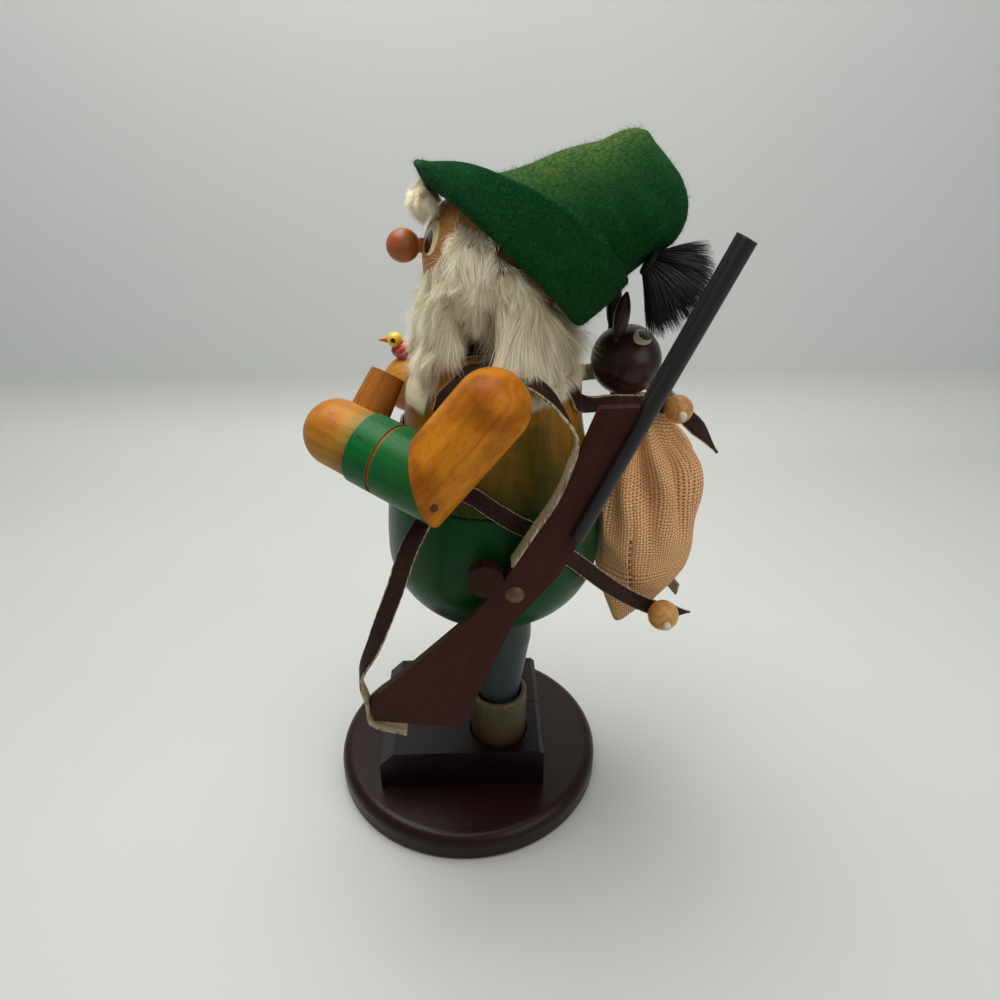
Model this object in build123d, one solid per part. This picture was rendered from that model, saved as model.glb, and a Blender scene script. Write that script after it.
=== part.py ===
from build123d import *
from math import acos, asin, cos, degrees, pi, radians, sin, sqrt
import os

# German incense smoker: a turned wooden hunter with a rifle, a sack and a felt hat.
# Millimetres. Z is up, the figure faces -Y and its left side is +X.
# The origin is the middle of the base disc's underside.

# Base, shoes, cuffs and legs
BASE_RADIUS = 48.0
BASE_THICKNESS = 9.8
BASE_TOP_ROUND = 4.0
BASE_FOOT_ROUND = 1.2
SHOE_WIDTH = 24.4
SHOE_LENGTH = 57.6
SHOE_HEIGHT = 16.0
SHOE_GAP = 0.4
SHOE_TOE_Y = -31.0
TOE_CHAMFER = 5.0
HEEL_CHAMFER = 1.5
LEG_Y = 11.0
SOCKET_DEPTH = 3.0
SOCKET_CLEARANCE = 0.6
CUFF_RADIUS = 9.8
CUFF_WALL = 1.9
CUFF_HEIGHT = 21.7
CUFF_ROUND = 0.6
ANKLE_RADIUS = 6.6
ANKLE_HEIGHT = 18.0
LEG_TOP_RADIUS = 10.9
LEG_FLARE_HEIGHT = 46.0
LEG_HEIGHT = 60.5
LEG_TENON_RADIUS = 3.5
LEG_TENON_LENGTH = 8.0

# Lower body with its spigot and burner plate
BODY_Y = 10.0
LEG_IN_BODY = 11.8
BOWL_HEIGHT = 28.5
BELLY_RADIUS = 34.3
BELLY_TO_WAIST = 24.0
WAIST_RADIUS = 32.0
WAIST_ROUND = 0.8
SPIGOT_RADIUS = 21.5
SPIGOT_HEIGHT = 6.0
SPIGOT_CLEARANCE = 0.3
PLATE_RADIUS = 16.0
PLATE_METAL = 0.8
PLATE_RIM = 2.0
PLATE_CLEARANCE = 0.2
SPIKE_RADIUS = 1.0
SPIKE_LENGTH = 7.0

# Torso with its smoke chamber and channel
CHEST_RADIUS = 26.4
CHEST_HEIGHT = 28.0
SHOULDER_HEIGHT = 17.0
COLLAR_RISE = 16.2
CHAMBER_DROP = 9.0
CHAMBER_DOME = 8.0
CHANNEL_RADIUS = 3.5

# Head, nose and mouth
HEAD_RADIUS = 20.3
HEAD_BACK = 0.9
HEAD_RISE = 21.3
NECK_RADIUS = 8.4
NECK_TENON_RADIUS = 6.0
NECK_TENON_LENGTH = 6.0
MOUTH_DROP = 3.0
MOUTH_RADIUS = 2.4
NOSE_RADIUS = 4.6
NOSE_PROUD = 5.0
NOSE_RISE = 3.5
NOSE_PEG_RADIUS = 2.0
NOSE_PEG_DEPTH = 5.0

# Arms: shoulder's place beside the chest, then the ways from shoulder to elbow and elbow to hand
ARM_RADIUS = 10.3
SHOULDER_OUT = 8.1
SHOULDER_FORWARD = 1.3
SHOULDER_UP = 7.6
UPPER_ARM_LEFT = Vector(2.5, -17.0, -19.5)
FOREARM_LEFT = Vector(-16.1, -25.2, 6.7)
UPPER_ARM_RIGHT = Vector(-8.8, 2.2, -25.5)
FOREARM_RIGHT = Vector(10.5, -27.9, 6.5)
HAND_RADIUS = 9.6
HAND_STANDOFF = 9.9
HAND_TENON_RADIUS = 4.0
HAND_TENON_LENGTH = 6.0
GROOVE_SETBACK = 8.6
GROOVE_WIDTH = 1.0
GROOVE_DEPTH = 0.5
DOWEL_RADIUS = 3.0
DOWEL_ALONG_ARM = 5.0
DOWEL_IN_TORSO = 8.0
DOWEL_IN_ARM = 9.0

# Cup in the left hand, its rim's middle given from the hand, and bird on the right hand
CUP_RIM_FROM_HAND = Vector(-18.9, 12.7, 10.0)
CUP_AXIS = Vector(-0.43, 0.44, 0.79)
CUP_LENGTH = 19.0
CUP_FOOT_RADIUS = 6.4
CUP_RIM_RADIUS = 5.2
CUP_RECESS = 3.0
CUP_WALL = 1.2
BIRD_LENGTH = 10.0
BIRD_GIRTH = 6.6
BIRD_SIT = 2.1
BIRD_FORWARD = 1.0
BIRD_HEAD_RADIUS = 2.6
BIRD_HEAD_FORWARD = 3.6
BIRD_HEAD_UP = 3.6
BEAK_LENGTH = 3.4
BEAK_RADIUS = 1.1
BEAK_TIP_RADIUS = 0.15
BEAK_SINK = 0.5

# Felt hat, in head radii: crown sections as (height along the axis, front edge, back edge)
HAT_BACK = 2.4
HAT_DROP = 0.5
HAT_TILT = 44.6
HAT_ROLL = 4.0
FELT = 1.6
CROWN_SHARES = [
    (0.0, -1.222, 1.158),
    (0.394, -1.084, 1.281),
    (0.788, -0.788, 1.305),
    (1.478, -0.443, 1.404),
    (1.872, -0.232, 1.404),
    (2.118, -0.059, 1.19),
    (2.374, 0.123, 0.87),
]
LINING_SECTIONS = 5
CREASE_RADIUS = 6.0
CREASE_DEPTH = 2.4
BRIM_WIDTH_SHARE = 1.345
BRIM_FRONT_SHARE = -1.655
BRIM_BACK_SHARE = 1.389
BRIM_HEIGHT_SHARE = 1.103
BRIM_CREST_SHARE = 0.69
BRIM_ARCH = 3.6
BRIM_DIP = 6.0
PEAK_HEIGHT = 2.5

# Brush behind the crown: root in head radii as (side, back, up the hat's axis)
BRUSH_SIDE_SHARE = 0.542
BRUSH_BACK_SHARE = 1.374
BRUSH_UP_SHARE = 1.34
BRUSH_AIM = Vector(0.1, 0.86, -0.51)
BRUSH_STRANDS = 300
BRUSH_LENGTH = 16.0
BRUSH_UNEVEN = 0.12
BRUSH_LENGTHS = 5
BRUSH_STRIDE = 7
BRUSH_BACKING_RADIUS = 4.0
BRUSH_BACKING = 6.0
BRUSH_SPREAD = 46.0
BRUSH_SINK = 0.6
STRAND_RADIUS = 0.11

# Fur: beard sections as (height over the shoulders, forward of the body's axis, half width, half depth)
FUR_GAP = 0.2
WHISKER_DEPTH = 2.6
WHISKER_FORWARD = 3.9
WHISKER_RISE = 13.5
FACE_HALF_WIDTH = 19.0
FACE_HALF_HEIGHT = 14.0
FACE_RISE = 8.0
BEARD_SECTIONS = [
    (31.0, 12.5, 17.5, 9.0),
    (20.0, 15.5, 18.5, 9.6),
    (8.0, 18.5, 18.5, 9.5),
    (-2.0, 22.0, 17.5, 8.6),
    (-9.0, 23.5, 15.5, 7.6),
]
BEARD_PARTING_TOP = 5.0
BEARD_PARTING_WIDTH = 7.0
HAIR_RISE = 2.5
HAIR_HEM_RISE = 6.0
HAIR_TOP_EXTRA = 1.9
HAIR_HEM_EXTRA = 7.9
HAIR_FORWARD = 1.4
TUFT_RISE = 14.0
TUFT_FORWARD = 16.9
TUFT_HALF_WIDTH = 11.0
TUFT_HALF_DEPTH = 6.0
TUFT_HALF_HEIGHT = 4.6

# Straps
STRAP_WIDTH = 5.2
STRAP_TIP_WIDTH = 1.0
STRAP_THICKNESS = 0.9
STRAP_GAP = 0.3
STRAP_STEP = 9.0
STRAP_RISE = 3.0
SLING_END_SHARE = 0.6

# Rifle, in a plane beside the body: breech point, lean, and outline as (along, below the axis)
RIFLE_OUT = 5.3
RIFLE_BACK = 21.0
RIFLE_DROP = 1.0
RIFLE_LEAN = 24.2
STOCK_THICKNESS = 2.6
STOCK_ROUND = 0.5
STOCK_TIP = 41.5
BELLY_POINTS = [(37.0, 11.6), (10.0, 9.4), (-19.5, 12.1), (-34.5, 15.4), (-77.0, 31.6)]
BUTT_TOE = (-83.5, 27.6)
BUTT_HEEL = (-76.0, 1.5)
COMB_POINT = (-32.0, 3.6)
WRIST_POINT = (-12.0, -1.2)
BARREL_RADIUS = 1.95
BARREL_BORE = 1.2
BARREL_BORE_DEPTH = 6.0
BARREL_LENGTH = 86.5
BREECH_ALONG = 0.5
GUARD_RADIUS = 5.2
GUARD_THICKNESS = 4.0
GUARD_ALONG = -22.0
GUARD_SEAT = 0.9
PIN_ALONG = -23.1
PIN_BELOW = 7.4
PIN_HEAD_RADIUS = 2.8
PIN_HEAD_HEIGHT = 1.5
PIN_SHANK_RADIUS = 1.2

# Sack: sections as (height over the waist, behind the body's axis, half depth, half width)
SACK_SECTIONS = [
    (-52.0, 48.5, 7.5, 8.5),
    (-42.0, 49.0, 12.5, 12.0),
    (-24.0, 49.5, 16.3, 17.0),
    (-7.0, 49.0, 17.0, 17.5),
    (6.0, 48.0, 15.2, 15.5),
    (17.0, 45.0, 9.5, 10.5),
    (24.0, 42.5, 7.0, 7.5),
]

# Hare, and beads given from the waist
HARE_RADIUS = 10.4
HARE_BACK = 39.2
HARE_RISE = 35.7
HARE_NECK_RADIUS = 4.0
EAR_LENGTH = 14.5
EAR_RADIUS = 2.2
EAR_TIP_RADIUS = 0.4
EAR_SPREAD = 5.0
EAR_FORWARD = 4.0
EAR_SPLAY = 0.25
EAR_LEAN = 0.08
EAR_PEG = 2.5
EAR_PEG_RADIUS = 1.1
EAR_SHANK = 0.6
BEAD_LOWER_PLACE = (21.1, 53.6, -42.6)
BEAD_LOWER_RADIUS = 4.9
BEAD_UPPER_PLACE = (12.9, 53.0, 25.2)
BEAD_UPPER_RADIUS = 4.2
BEAD_BORE = 0.9
THREAD_RADIUS = 0.5
KNOT_RADIUS = 1.3

# Fits
GLUE_GAP = 0.05
CLOSE_GAP = 0.3


def turned(*edges):
    """Solid turned about Z from profile edges drawn as (radius, height)."""
    return revolve(Plane.XZ * make_face(list(edges)), Axis.Z)


def rod(start, end, radius):
    """Round rod between two points."""
    along = end - start
    return extrude(Plane(origin=start, z_dir=along) * Circle(radius), along.length)


def between(start, end, distance):
    """Point at a distance from start on the way to end."""
    return start + (end - start).normalized() * distance


def ribbon(stations, width, thickness, tip_width):
    """Flat strap through stations of (centre, direction that its outer face looks in)."""
    centres = [Vector(*centre) for centre, _ in stations]
    rings = []
    for index, (_, outward) in enumerate(stations):
        ahead = centres[min(index + 1, len(centres) - 1)]
        behind = centres[max(index - 1, 0)]
        along = (ahead - behind).normalized()
        plane = Plane(origin=centres[index], x_dir=along.cross(Vector(*outward)), z_dir=along)
        side = plane.x_dir * (width if index else tip_width) / 2
        rise = plane.y_dir * thickness / 2
        low, high = centres[index] - rise, centres[index] + rise
        rings.append([low - side, low + side, high + side, high - side])
    faces = [Face(Wire.make_polygon(rings[0])), Face(Wire.make_polygon(rings[-1]))]
    for near, far in zip(rings, rings[1:]):
        for corner in range(4):
            after = (corner + 1) % 4
            near_edge = Edge.make_line(near[corner], near[after])
            far_edge = Edge.make_line(far[corner], far[after])
            faces.append(Face.make_surface_from_curves(near_edge, far_edge))
    return Solid(Shell(faces))


# Base and legs
SHOE_TOP = BASE_THICKNESS + SHOE_HEIGHT
SOCKET_FLOOR = SHOE_TOP - SOCKET_DEPTH
LEG_X = (SHOE_GAP + SHOE_WIDTH) / 2
LEG_TOP = SOCKET_FLOOR + LEG_HEIGHT

# Heights of the body, each from the piece under it
LOWER_BODY_BOTTOM = LEG_TOP - LEG_IN_BODY
BELLY_Z = LOWER_BODY_BOTTOM + BOWL_HEIGHT
WAIST_Z = BELLY_Z + BELLY_TO_WAIST
SHOULDER_Z = WAIST_Z + CHEST_HEIGHT
COLLAR_Z = SHOULDER_Z + COLLAR_RISE
HEAD_Z = COLLAR_Z + HEAD_RISE
HEAD_Y = BODY_Y + HEAD_BACK


def from_waist(side, back, up):
    """Point given from the middle of the waist."""
    return Vector(side, BODY_Y + back, WAIST_Z + up)


# Arms' places
SHOULDER_LEFT = Vector(CHEST_RADIUS + SHOULDER_OUT, BODY_Y - SHOULDER_FORWARD, SHOULDER_Z + SHOULDER_UP)
ELBOW_LEFT = SHOULDER_LEFT + UPPER_ARM_LEFT
HAND_LEFT = ELBOW_LEFT + FOREARM_LEFT
SHOULDER_RIGHT = Vector(-SHOULDER_LEFT.X, SHOULDER_LEFT.Y, SHOULDER_LEFT.Z)
ELBOW_RIGHT = SHOULDER_RIGHT + UPPER_ARM_RIGHT
HAND_RIGHT = ELBOW_RIGHT + FOREARM_RIGHT


def base_disc():
    """Turned foot plate with a rounded upper edge."""
    disc = extrude(Circle(BASE_RADIUS), BASE_THICKNESS)
    disc = fillet(disc.edges().sort_by(Axis.Z)[-1], BASE_TOP_ROUND)
    return fillet(disc.edges().sort_by(Axis.Z)[0], BASE_FOOT_ROUND)


def shoe(side):
    """Block with a sloping toe, a small heel slope and a socket for cuff and leg."""
    heel = SHOE_TOE_Y + SHOE_LENGTH
    outline = Polyline(
        (SHOE_TOE_Y, BASE_THICKNESS),
        (SHOE_TOE_Y, SHOE_TOP - TOE_CHAMFER),
        (SHOE_TOE_Y + TOE_CHAMFER, SHOE_TOP),
        (heel - HEEL_CHAMFER, SHOE_TOP),
        (heel, SHOE_TOP - HEEL_CHAMFER),
        (heel, BASE_THICKNESS),
        close=True,
    )
    block = extrude(Plane.YZ * make_face(outline), SHOE_WIDTH / 2, both=True)
    block = Pos(side * LEG_X, 0, 0) * block
    foot = Pos(side * LEG_X, LEG_Y, 0)
    socket = Pos(0, 0, SOCKET_FLOOR) * Cylinder(
        CUFF_RADIUS + SOCKET_CLEARANCE, SHOE_HEIGHT, align=(Align.CENTER, Align.CENTER, Align.MIN))
    hole = Pos(0, 0, SOCKET_FLOOR) * Cylinder(
        LEG_TENON_RADIUS + GLUE_GAP, 2 * (LEG_TENON_LENGTH + GLUE_GAP))
    return block - foot * socket - foot * hole


def boot_cuff(side):
    """Hollow turned ring round the ankle."""
    inner = CUFF_RADIUS - CUFF_WALL
    ring = extrude(Circle(CUFF_RADIUS) - Circle(inner), CUFF_HEIGHT)
    ring = fillet(ring.edges().group_by(Axis.Z)[-1], CUFF_ROUND)
    return Pos(side * LEG_X, LEG_Y, SOCKET_FLOOR) * ring


def leg(side):
    """Turned leg: tenon, ankle, flare and the cylinder that is let into the body."""
    outline = Polyline(
        (0, -LEG_TENON_LENGTH),
        (LEG_TENON_RADIUS, -LEG_TENON_LENGTH),
        (LEG_TENON_RADIUS, 0),
        (ANKLE_RADIUS, 0),
        (ANKLE_RADIUS, ANKLE_HEIGHT),
        (LEG_TOP_RADIUS, LEG_FLARE_HEIGHT),
        (LEG_TOP_RADIUS, LEG_HEIGHT),
        (0, LEG_HEIGHT),
        close=True,
    )
    return Pos(side * LEG_X, LEG_Y, SOCKET_FLOOR) * turned(outline)


# Body
BELL_RADIUS = ((WAIST_RADIUS - CHEST_RADIUS) ** 2 + (SHOULDER_Z - WAIST_Z) ** 2) / (
    2 * (WAIST_RADIUS - CHEST_RADIUS))
SPIGOT_TOP = WAIST_Z + SPIGOT_HEIGHT
COLLAR_RADIUS = CHEST_RADIUS * sqrt(1 - ((COLLAR_Z - SHOULDER_Z) / SHOULDER_HEIGHT) ** 2)
BODY = Pos(0, BODY_Y, 0)


def torso_radius(height):
    """Radius of the torso's outside at a height."""
    if height <= SHOULDER_Z:
        return CHEST_RADIUS + BELL_RADIUS - sqrt(BELL_RADIUS ** 2 - (SHOULDER_Z - height) ** 2)
    return CHEST_RADIUS * sqrt(1 - ((height - SHOULDER_Z) / SHOULDER_HEIGHT) ** 2)


def torso_envelope(gap):
    """Torso's outside, grown by a gap, for cutting what lies on it."""
    chest = CHEST_RADIUS + gap
    waist = WAIST_RADIUS + gap
    rise = SHOULDER_HEIGHT + gap
    outline = [
        Line((0, WAIST_Z), (waist, WAIST_Z)),
        TangentArc((chest, SHOULDER_Z), (waist, WAIST_Z), tangent=(0, -1)),
        EllipticalCenterArc((0, SHOULDER_Z), chest, rise),
        Line((0, SHOULDER_Z + rise), (0, WAIST_Z)),
    ]
    return BODY * turned(*outline)


def lower_body():
    """Bowl-shaped lower half with leg sockets, spigot and a recess for the burner plate."""
    outline = [
        EllipticalCenterArc((0, BELLY_Z), BELLY_RADIUS, BELLY_Z - LOWER_BODY_BOTTOM, 270, arc_size=90),
        TangentArc((BELLY_RADIUS, BELLY_Z), (WAIST_RADIUS, WAIST_Z), tangent=(0, 1)),
        Polyline(
            (WAIST_RADIUS, WAIST_Z),
            (SPIGOT_RADIUS, WAIST_Z),
            (SPIGOT_RADIUS, SPIGOT_TOP),
            (PLATE_RADIUS + PLATE_CLEARANCE, SPIGOT_TOP),
            (PLATE_RADIUS + PLATE_CLEARANCE, SPIGOT_TOP - PLATE_RIM),
            (SPIKE_RADIUS + GLUE_GAP, SPIGOT_TOP - PLATE_RIM),
            (SPIKE_RADIUS + GLUE_GAP, SPIGOT_TOP - PLATE_RIM - SPIKE_LENGTH - GLUE_GAP),
            (0, SPIGOT_TOP - PLATE_RIM - SPIKE_LENGTH - GLUE_GAP),
            (0, LOWER_BODY_BOTTOM),
        ),
    ]
    bowl = turned(*outline)
    waist = [edge for edge in bowl.edges().filter_by(GeomType.CIRCLE)
             if abs(edge.radius - WAIST_RADIUS) < GLUE_GAP]
    bowl = BODY * fillet(waist, WAIST_ROUND)
    for side in (1, -1):
        socket = Cylinder(LEG_TOP_RADIUS + GLUE_GAP, LEG_HEIGHT,
                          align=(Align.CENTER, Align.CENTER, Align.MAX))
        bowl -= Pos(side * LEG_X, LEG_Y, LEG_TOP) * socket
    return bowl


def burner_plate():
    """Pressed metal dish with an upturned rim and a spike."""
    floor = SPIGOT_TOP - PLATE_RIM
    outline = Polyline(
        (0, floor - SPIKE_LENGTH),
        (SPIKE_RADIUS, floor - SPIKE_LENGTH),
        (SPIKE_RADIUS, floor),
        (PLATE_RADIUS, floor),
        (PLATE_RADIUS, floor + PLATE_RIM),
        (PLATE_RADIUS - PLATE_METAL, floor + PLATE_RIM),
        (PLATE_RADIUS - PLATE_METAL, floor + PLATE_METAL),
        (0, floor + PLATE_METAL),
        close=True,
    )
    return BODY * turned(outline)


def torso():
    """Bell-shaped upper half: smoke chamber, channel, head socket and dowel holes."""
    chamber = SPIGOT_RADIUS + SPIGOT_CLEARANCE
    neck = NECK_TENON_RADIUS + GLUE_GAP
    neck_floor = COLLAR_Z - NECK_TENON_LENGTH - GLUE_GAP
    chamber_top = SHOULDER_Z - CHAMBER_DROP
    dome_angle = degrees(acos(CHANNEL_RADIUS / chamber))
    collar_angle = degrees(asin((COLLAR_Z - SHOULDER_Z) / SHOULDER_HEIGHT))
    dome_end = EllipticalCenterArc((0, chamber_top), chamber, CHAMBER_DOME, arc_size=dome_angle)
    outline = [
        TangentArc((CHEST_RADIUS, SHOULDER_Z), (WAIST_RADIUS, WAIST_Z), tangent=(0, -1)),
        Polyline((WAIST_RADIUS, WAIST_Z), (chamber, WAIST_Z), (chamber, chamber_top)),
        dome_end,
        Polyline(
            dome_end @ 1,
            (CHANNEL_RADIUS, neck_floor),
            (neck, neck_floor),
            (neck, COLLAR_Z),
            (COLLAR_RADIUS, COLLAR_Z),
        ),
        EllipticalCenterArc((0, SHOULDER_Z), CHEST_RADIUS, SHOULDER_HEIGHT, arc_size=collar_angle),
    ]
    bell = turned(*outline)
    waist = [edge for edge in bell.edges().filter_by(GeomType.CIRCLE)
             if abs(edge.radius - WAIST_RADIUS) < GLUE_GAP]
    bell = BODY * fillet(waist, WAIST_ROUND)
    for shoulder, elbow in ((SHOULDER_LEFT, ELBOW_LEFT), (SHOULDER_RIGHT, ELBOW_RIGHT)):
        bell -= dowel_room(shoulder, elbow, GLUE_GAP)
    return bell


def dowel_room(shoulder, elbow, gap):
    """Rod along X from inside the torso's side to inside the upper arm, grown by a gap."""
    side = 1 if shoulder.X > 0 else -1
    middle = between(shoulder, elbow, DOWEL_ALONG_ARM)
    reach = sqrt(torso_radius(middle.Z) ** 2 - (middle.Y - BODY_Y) ** 2)
    inner = Vector(side * (reach - DOWEL_IN_TORSO - gap), middle.Y, middle.Z)
    outer = middle + Vector(side * (DOWEL_IN_ARM - ARM_RADIUS + gap), 0, 0)
    return rod(inner, outer, DOWEL_RADIUS + gap)


# Arms
def arm_pieces(shoulder, elbow, hand):
    """Domed upper arm and grooved forearm, mitred at the elbow, and where the hand seats."""
    upper_way = (shoulder - elbow).normalized()
    fore_way = (hand - elbow).normalized()
    seat = between(hand, elbow, HAND_STANDOFF)
    overrun = 2 * ARM_RADIUS
    upper = rod(elbow - upper_way * overrun, shoulder, ARM_RADIUS)
    upper += Pos(shoulder) * Sphere(ARM_RADIUS)
    fore = rod(elbow - fore_way * overrun, seat, ARM_RADIUS)
    mitre = Plane(origin=elbow, z_dir=upper_way - fore_way)
    upper = split(upper, mitre, keep=Keep.TOP)
    fore = split(fore, mitre, keep=Keep.BOTTOM)
    upper -= torso_envelope(GLUE_GAP)
    upper -= dowel_room(shoulder, elbow, GLUE_GAP)
    groove = Plane(origin=between(seat, elbow, GROOVE_SETBACK), z_dir=fore_way)
    ring = Circle(ARM_RADIUS + GROOVE_DEPTH) - Circle(ARM_RADIUS - GROOVE_DEPTH)
    fore -= extrude(groove * ring, GROOVE_WIDTH)
    bore_end = between(seat, elbow, HAND_TENON_LENGTH + GLUE_GAP)
    fore -= rod(bore_end, seat, HAND_TENON_RADIUS + GLUE_GAP)
    return upper, fore, seat


def domed_hand(hand, elbow, seat):
    """Hand as a domed dowel that stands on the sleeve's end, with its tenon."""
    way = (hand - elbow).normalized()
    dome = split(Pos(hand) * Sphere(HAND_RADIUS), Plane(origin=hand, z_dir=way), keep=Keep.TOP)
    wrist = rod(seat, hand, HAND_RADIUS)
    return dome + wrist + rod(between(seat, elbow, HAND_TENON_LENGTH), hand, HAND_TENON_RADIUS)


def cup(gap=0.0):
    """Turned cup, wider at its foot, with a shallow hollow in its rim; solid if grown by a gap."""
    foot = CUP_FOOT_RADIUS + gap
    rim = CUP_RIM_RADIUS + gap
    outline = Polyline((0, -gap), (foot, -gap), (rim, CUP_LENGTH + gap), (0, CUP_LENGTH + gap), close=True)
    body = turned(outline)
    if gap == 0.0:
        hollow = Cylinder(CUP_RIM_RADIUS - CUP_WALL, 2 * CUP_RECESS)
        body -= Pos(0, 0, CUP_LENGTH) * hollow
    axis = CUP_AXIS.normalized()
    foot_middle = HAND_LEFT + CUP_RIM_FROM_HAND - axis * CUP_LENGTH
    return Plane(origin=foot_middle, z_dir=axis).location * body


def bird():
    """Small bird on the right hand: body, head and beak, each cut by the one it sits on."""
    perch = HAND_RIGHT + Vector(0, -BIRD_FORWARD, HAND_RADIUS + BIRD_SIT)
    body = Pos(perch) * scale(Sphere(BIRD_GIRTH / 2), by=(1, BIRD_LENGTH / BIRD_GIRTH, 1))
    body -= Pos(HAND_RIGHT) * Sphere(HAND_RADIUS + GLUE_GAP)
    head_middle = perch + Vector(0, -BIRD_HEAD_FORWARD, BIRD_HEAD_UP)
    head_ball = Pos(head_middle) * Sphere(BIRD_HEAD_RADIUS)
    body -= Pos(head_middle) * Sphere(BIRD_HEAD_RADIUS + GLUE_GAP)
    beak_root = head_middle + Vector(0, BEAK_SINK - BIRD_HEAD_RADIUS, 0)
    cone = Cone(BEAK_RADIUS, BEAK_TIP_RADIUS, BEAK_LENGTH, align=(Align.CENTER, Align.CENTER, Align.MIN))
    beak = Plane(origin=beak_root, z_dir=(0, -1, 0)).location * cone
    beak -= Pos(head_middle) * Sphere(BIRD_HEAD_RADIUS + GLUE_GAP)
    return body, head_ball, beak


# Head, hat and fur
HEAD_PLACE = Pos(0, HEAD_Y, HEAD_Z)
MOUTH_Z = HEAD_Z - MOUTH_DROP
NOSE = Vector(0, HEAD_Y - HEAD_RADIUS - NOSE_PROUD, HEAD_Z + NOSE_RISE)
NOSE_SEAT_Y = HEAD_Y - sqrt(HEAD_RADIUS ** 2 - NOSE_RISE ** 2)
HAT_PLANE = Plane(origin=(0, HEAD_Y + HAT_BACK, HEAD_Z - HAT_DROP), x_dir=(1, 0, 0),
                  z_dir=(0, sin(radians(HAT_TILT)), cos(radians(HAT_TILT)))).rotated((0, -HAT_ROLL, 0))
CROWN_SECTIONS = [tuple(share * HEAD_RADIUS for share in section) for section in CROWN_SHARES]
CROWN_TOP, CROWN_TOP_FRONT, CROWN_TOP_BACK = CROWN_SECTIONS[-1]
BRIM_HALF_WIDTH = BRIM_WIDTH_SHARE * HEAD_RADIUS
BRIM_FRONT = BRIM_FRONT_SHARE * HEAD_RADIUS
BRIM_BACK = BRIM_BACK_SHARE * HEAD_RADIUS
BRIM_HEIGHT = BRIM_HEIGHT_SHARE * HEAD_RADIUS
BRIM_CREST = BRIM_CREST_SHARE * HEAD_RADIUS


def head():
    """Turned ball with neck and tenon, smoke channel, mouth hole and nose hole."""
    ball = HEAD_PLACE * Sphere(HEAD_RADIUS)
    neck_axis = Vector(0, BODY_Y, COLLAR_Z)
    ball += rod(neck_axis, Vector(0, BODY_Y, HEAD_Z), NECK_RADIUS)
    ball += rod(neck_axis - Vector(0, 0, NECK_TENON_LENGTH), neck_axis, NECK_TENON_RADIUS)
    turn_point = Vector(0, BODY_Y, MOUTH_Z)
    ball -= rod(neck_axis - Vector(0, 0, 2 * NECK_TENON_LENGTH), turn_point, CHANNEL_RADIUS)
    ball -= rod(Vector(0, HEAD_Y - 2 * HEAD_RADIUS, MOUTH_Z), turn_point, MOUTH_RADIUS)
    nose_end = Vector(0, NOSE_SEAT_Y + NOSE_PEG_DEPTH + GLUE_GAP, NOSE.Z)
    return ball - rod(NOSE, nose_end, NOSE_PEG_RADIUS + GLUE_GAP)


def nose():
    """Turned ball nose on its peg."""
    peg_end = Vector(0, NOSE_SEAT_Y + NOSE_PEG_DEPTH, NOSE.Z)
    return Pos(NOSE) * Sphere(NOSE_RADIUS) + rod(NOSE, peg_end, NOSE_PEG_RADIUS)


def crown_loft(inset, count):
    """Crown through its first round sections, a number of them, drawn in by an inset."""
    sections = []
    for height, front, back in CROWN_SECTIONS[:count]:
        ring = Pos(0, (front + back) / 2) * Circle((back - front) / 2 - inset)
        sections.append(HAT_PLANE.offset(height) * ring)
    return loft(sections)


def brim_oval(inset):
    """Oval of the turned-up brim, seen along the hat's axis."""
    half_depth = (BRIM_BACK - BRIM_FRONT) / 2
    oval = Ellipse(BRIM_HALF_WIDTH - inset, half_depth - inset)
    return Pos(0, (BRIM_BACK + BRIM_FRONT) / 2) * oval


def brim_side_view():
    """Side view of the brim: an ellipse's arc rising from the peak to the back."""
    long_half = (BRIM_CREST - BRIM_FRONT) / sqrt(1 - (PEAK_HEIGHT / BRIM_HEIGHT) ** 2)
    return Pos(BRIM_CREST, 0) * Ellipse(long_half, BRIM_HEIGHT)


def hat_side_plane():
    """Plane through the hat's middle, drawn as (towards the back, up the axis)."""
    return Plane(origin=HAT_PLANE.origin, x_dir=HAT_PLANE.y_dir, z_dir=HAT_PLANE.x_dir)


def brim_prism():
    """Everything that lies inside the brim's side view, which dips towards the right side."""
    near_side = HAT_PLANE.from_local_coords(Vector(BRIM_HALF_WIDTH, 0, 0))
    across = HAT_PLANE.x_dir * cos(radians(BRIM_DIP)) + HAT_PLANE.z_dir * sin(radians(BRIM_DIP))
    tilted = Plane(origin=near_side, x_dir=HAT_PLANE.y_dir, z_dir=across)
    return extrude(tilted * brim_side_view(), 3 * BRIM_HALF_WIDTH, both=True)


def under_arch(lift):
    """Everything under the brim's fold, which arches up at the sides, raised by a lift."""
    reach = 2 * BRIM_HALF_WIDTH
    end = FELT - BRIM_FRONT
    outline = [
        ThreePointArc((-end, lift), (0, BRIM_ARCH + lift), (end, lift)),
        Polyline((end, lift), (end, -reach), (-end, -reach), (-end, lift)),
    ]
    return extrude(hat_side_plane() * make_face(outline), reach, both=True)


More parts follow.
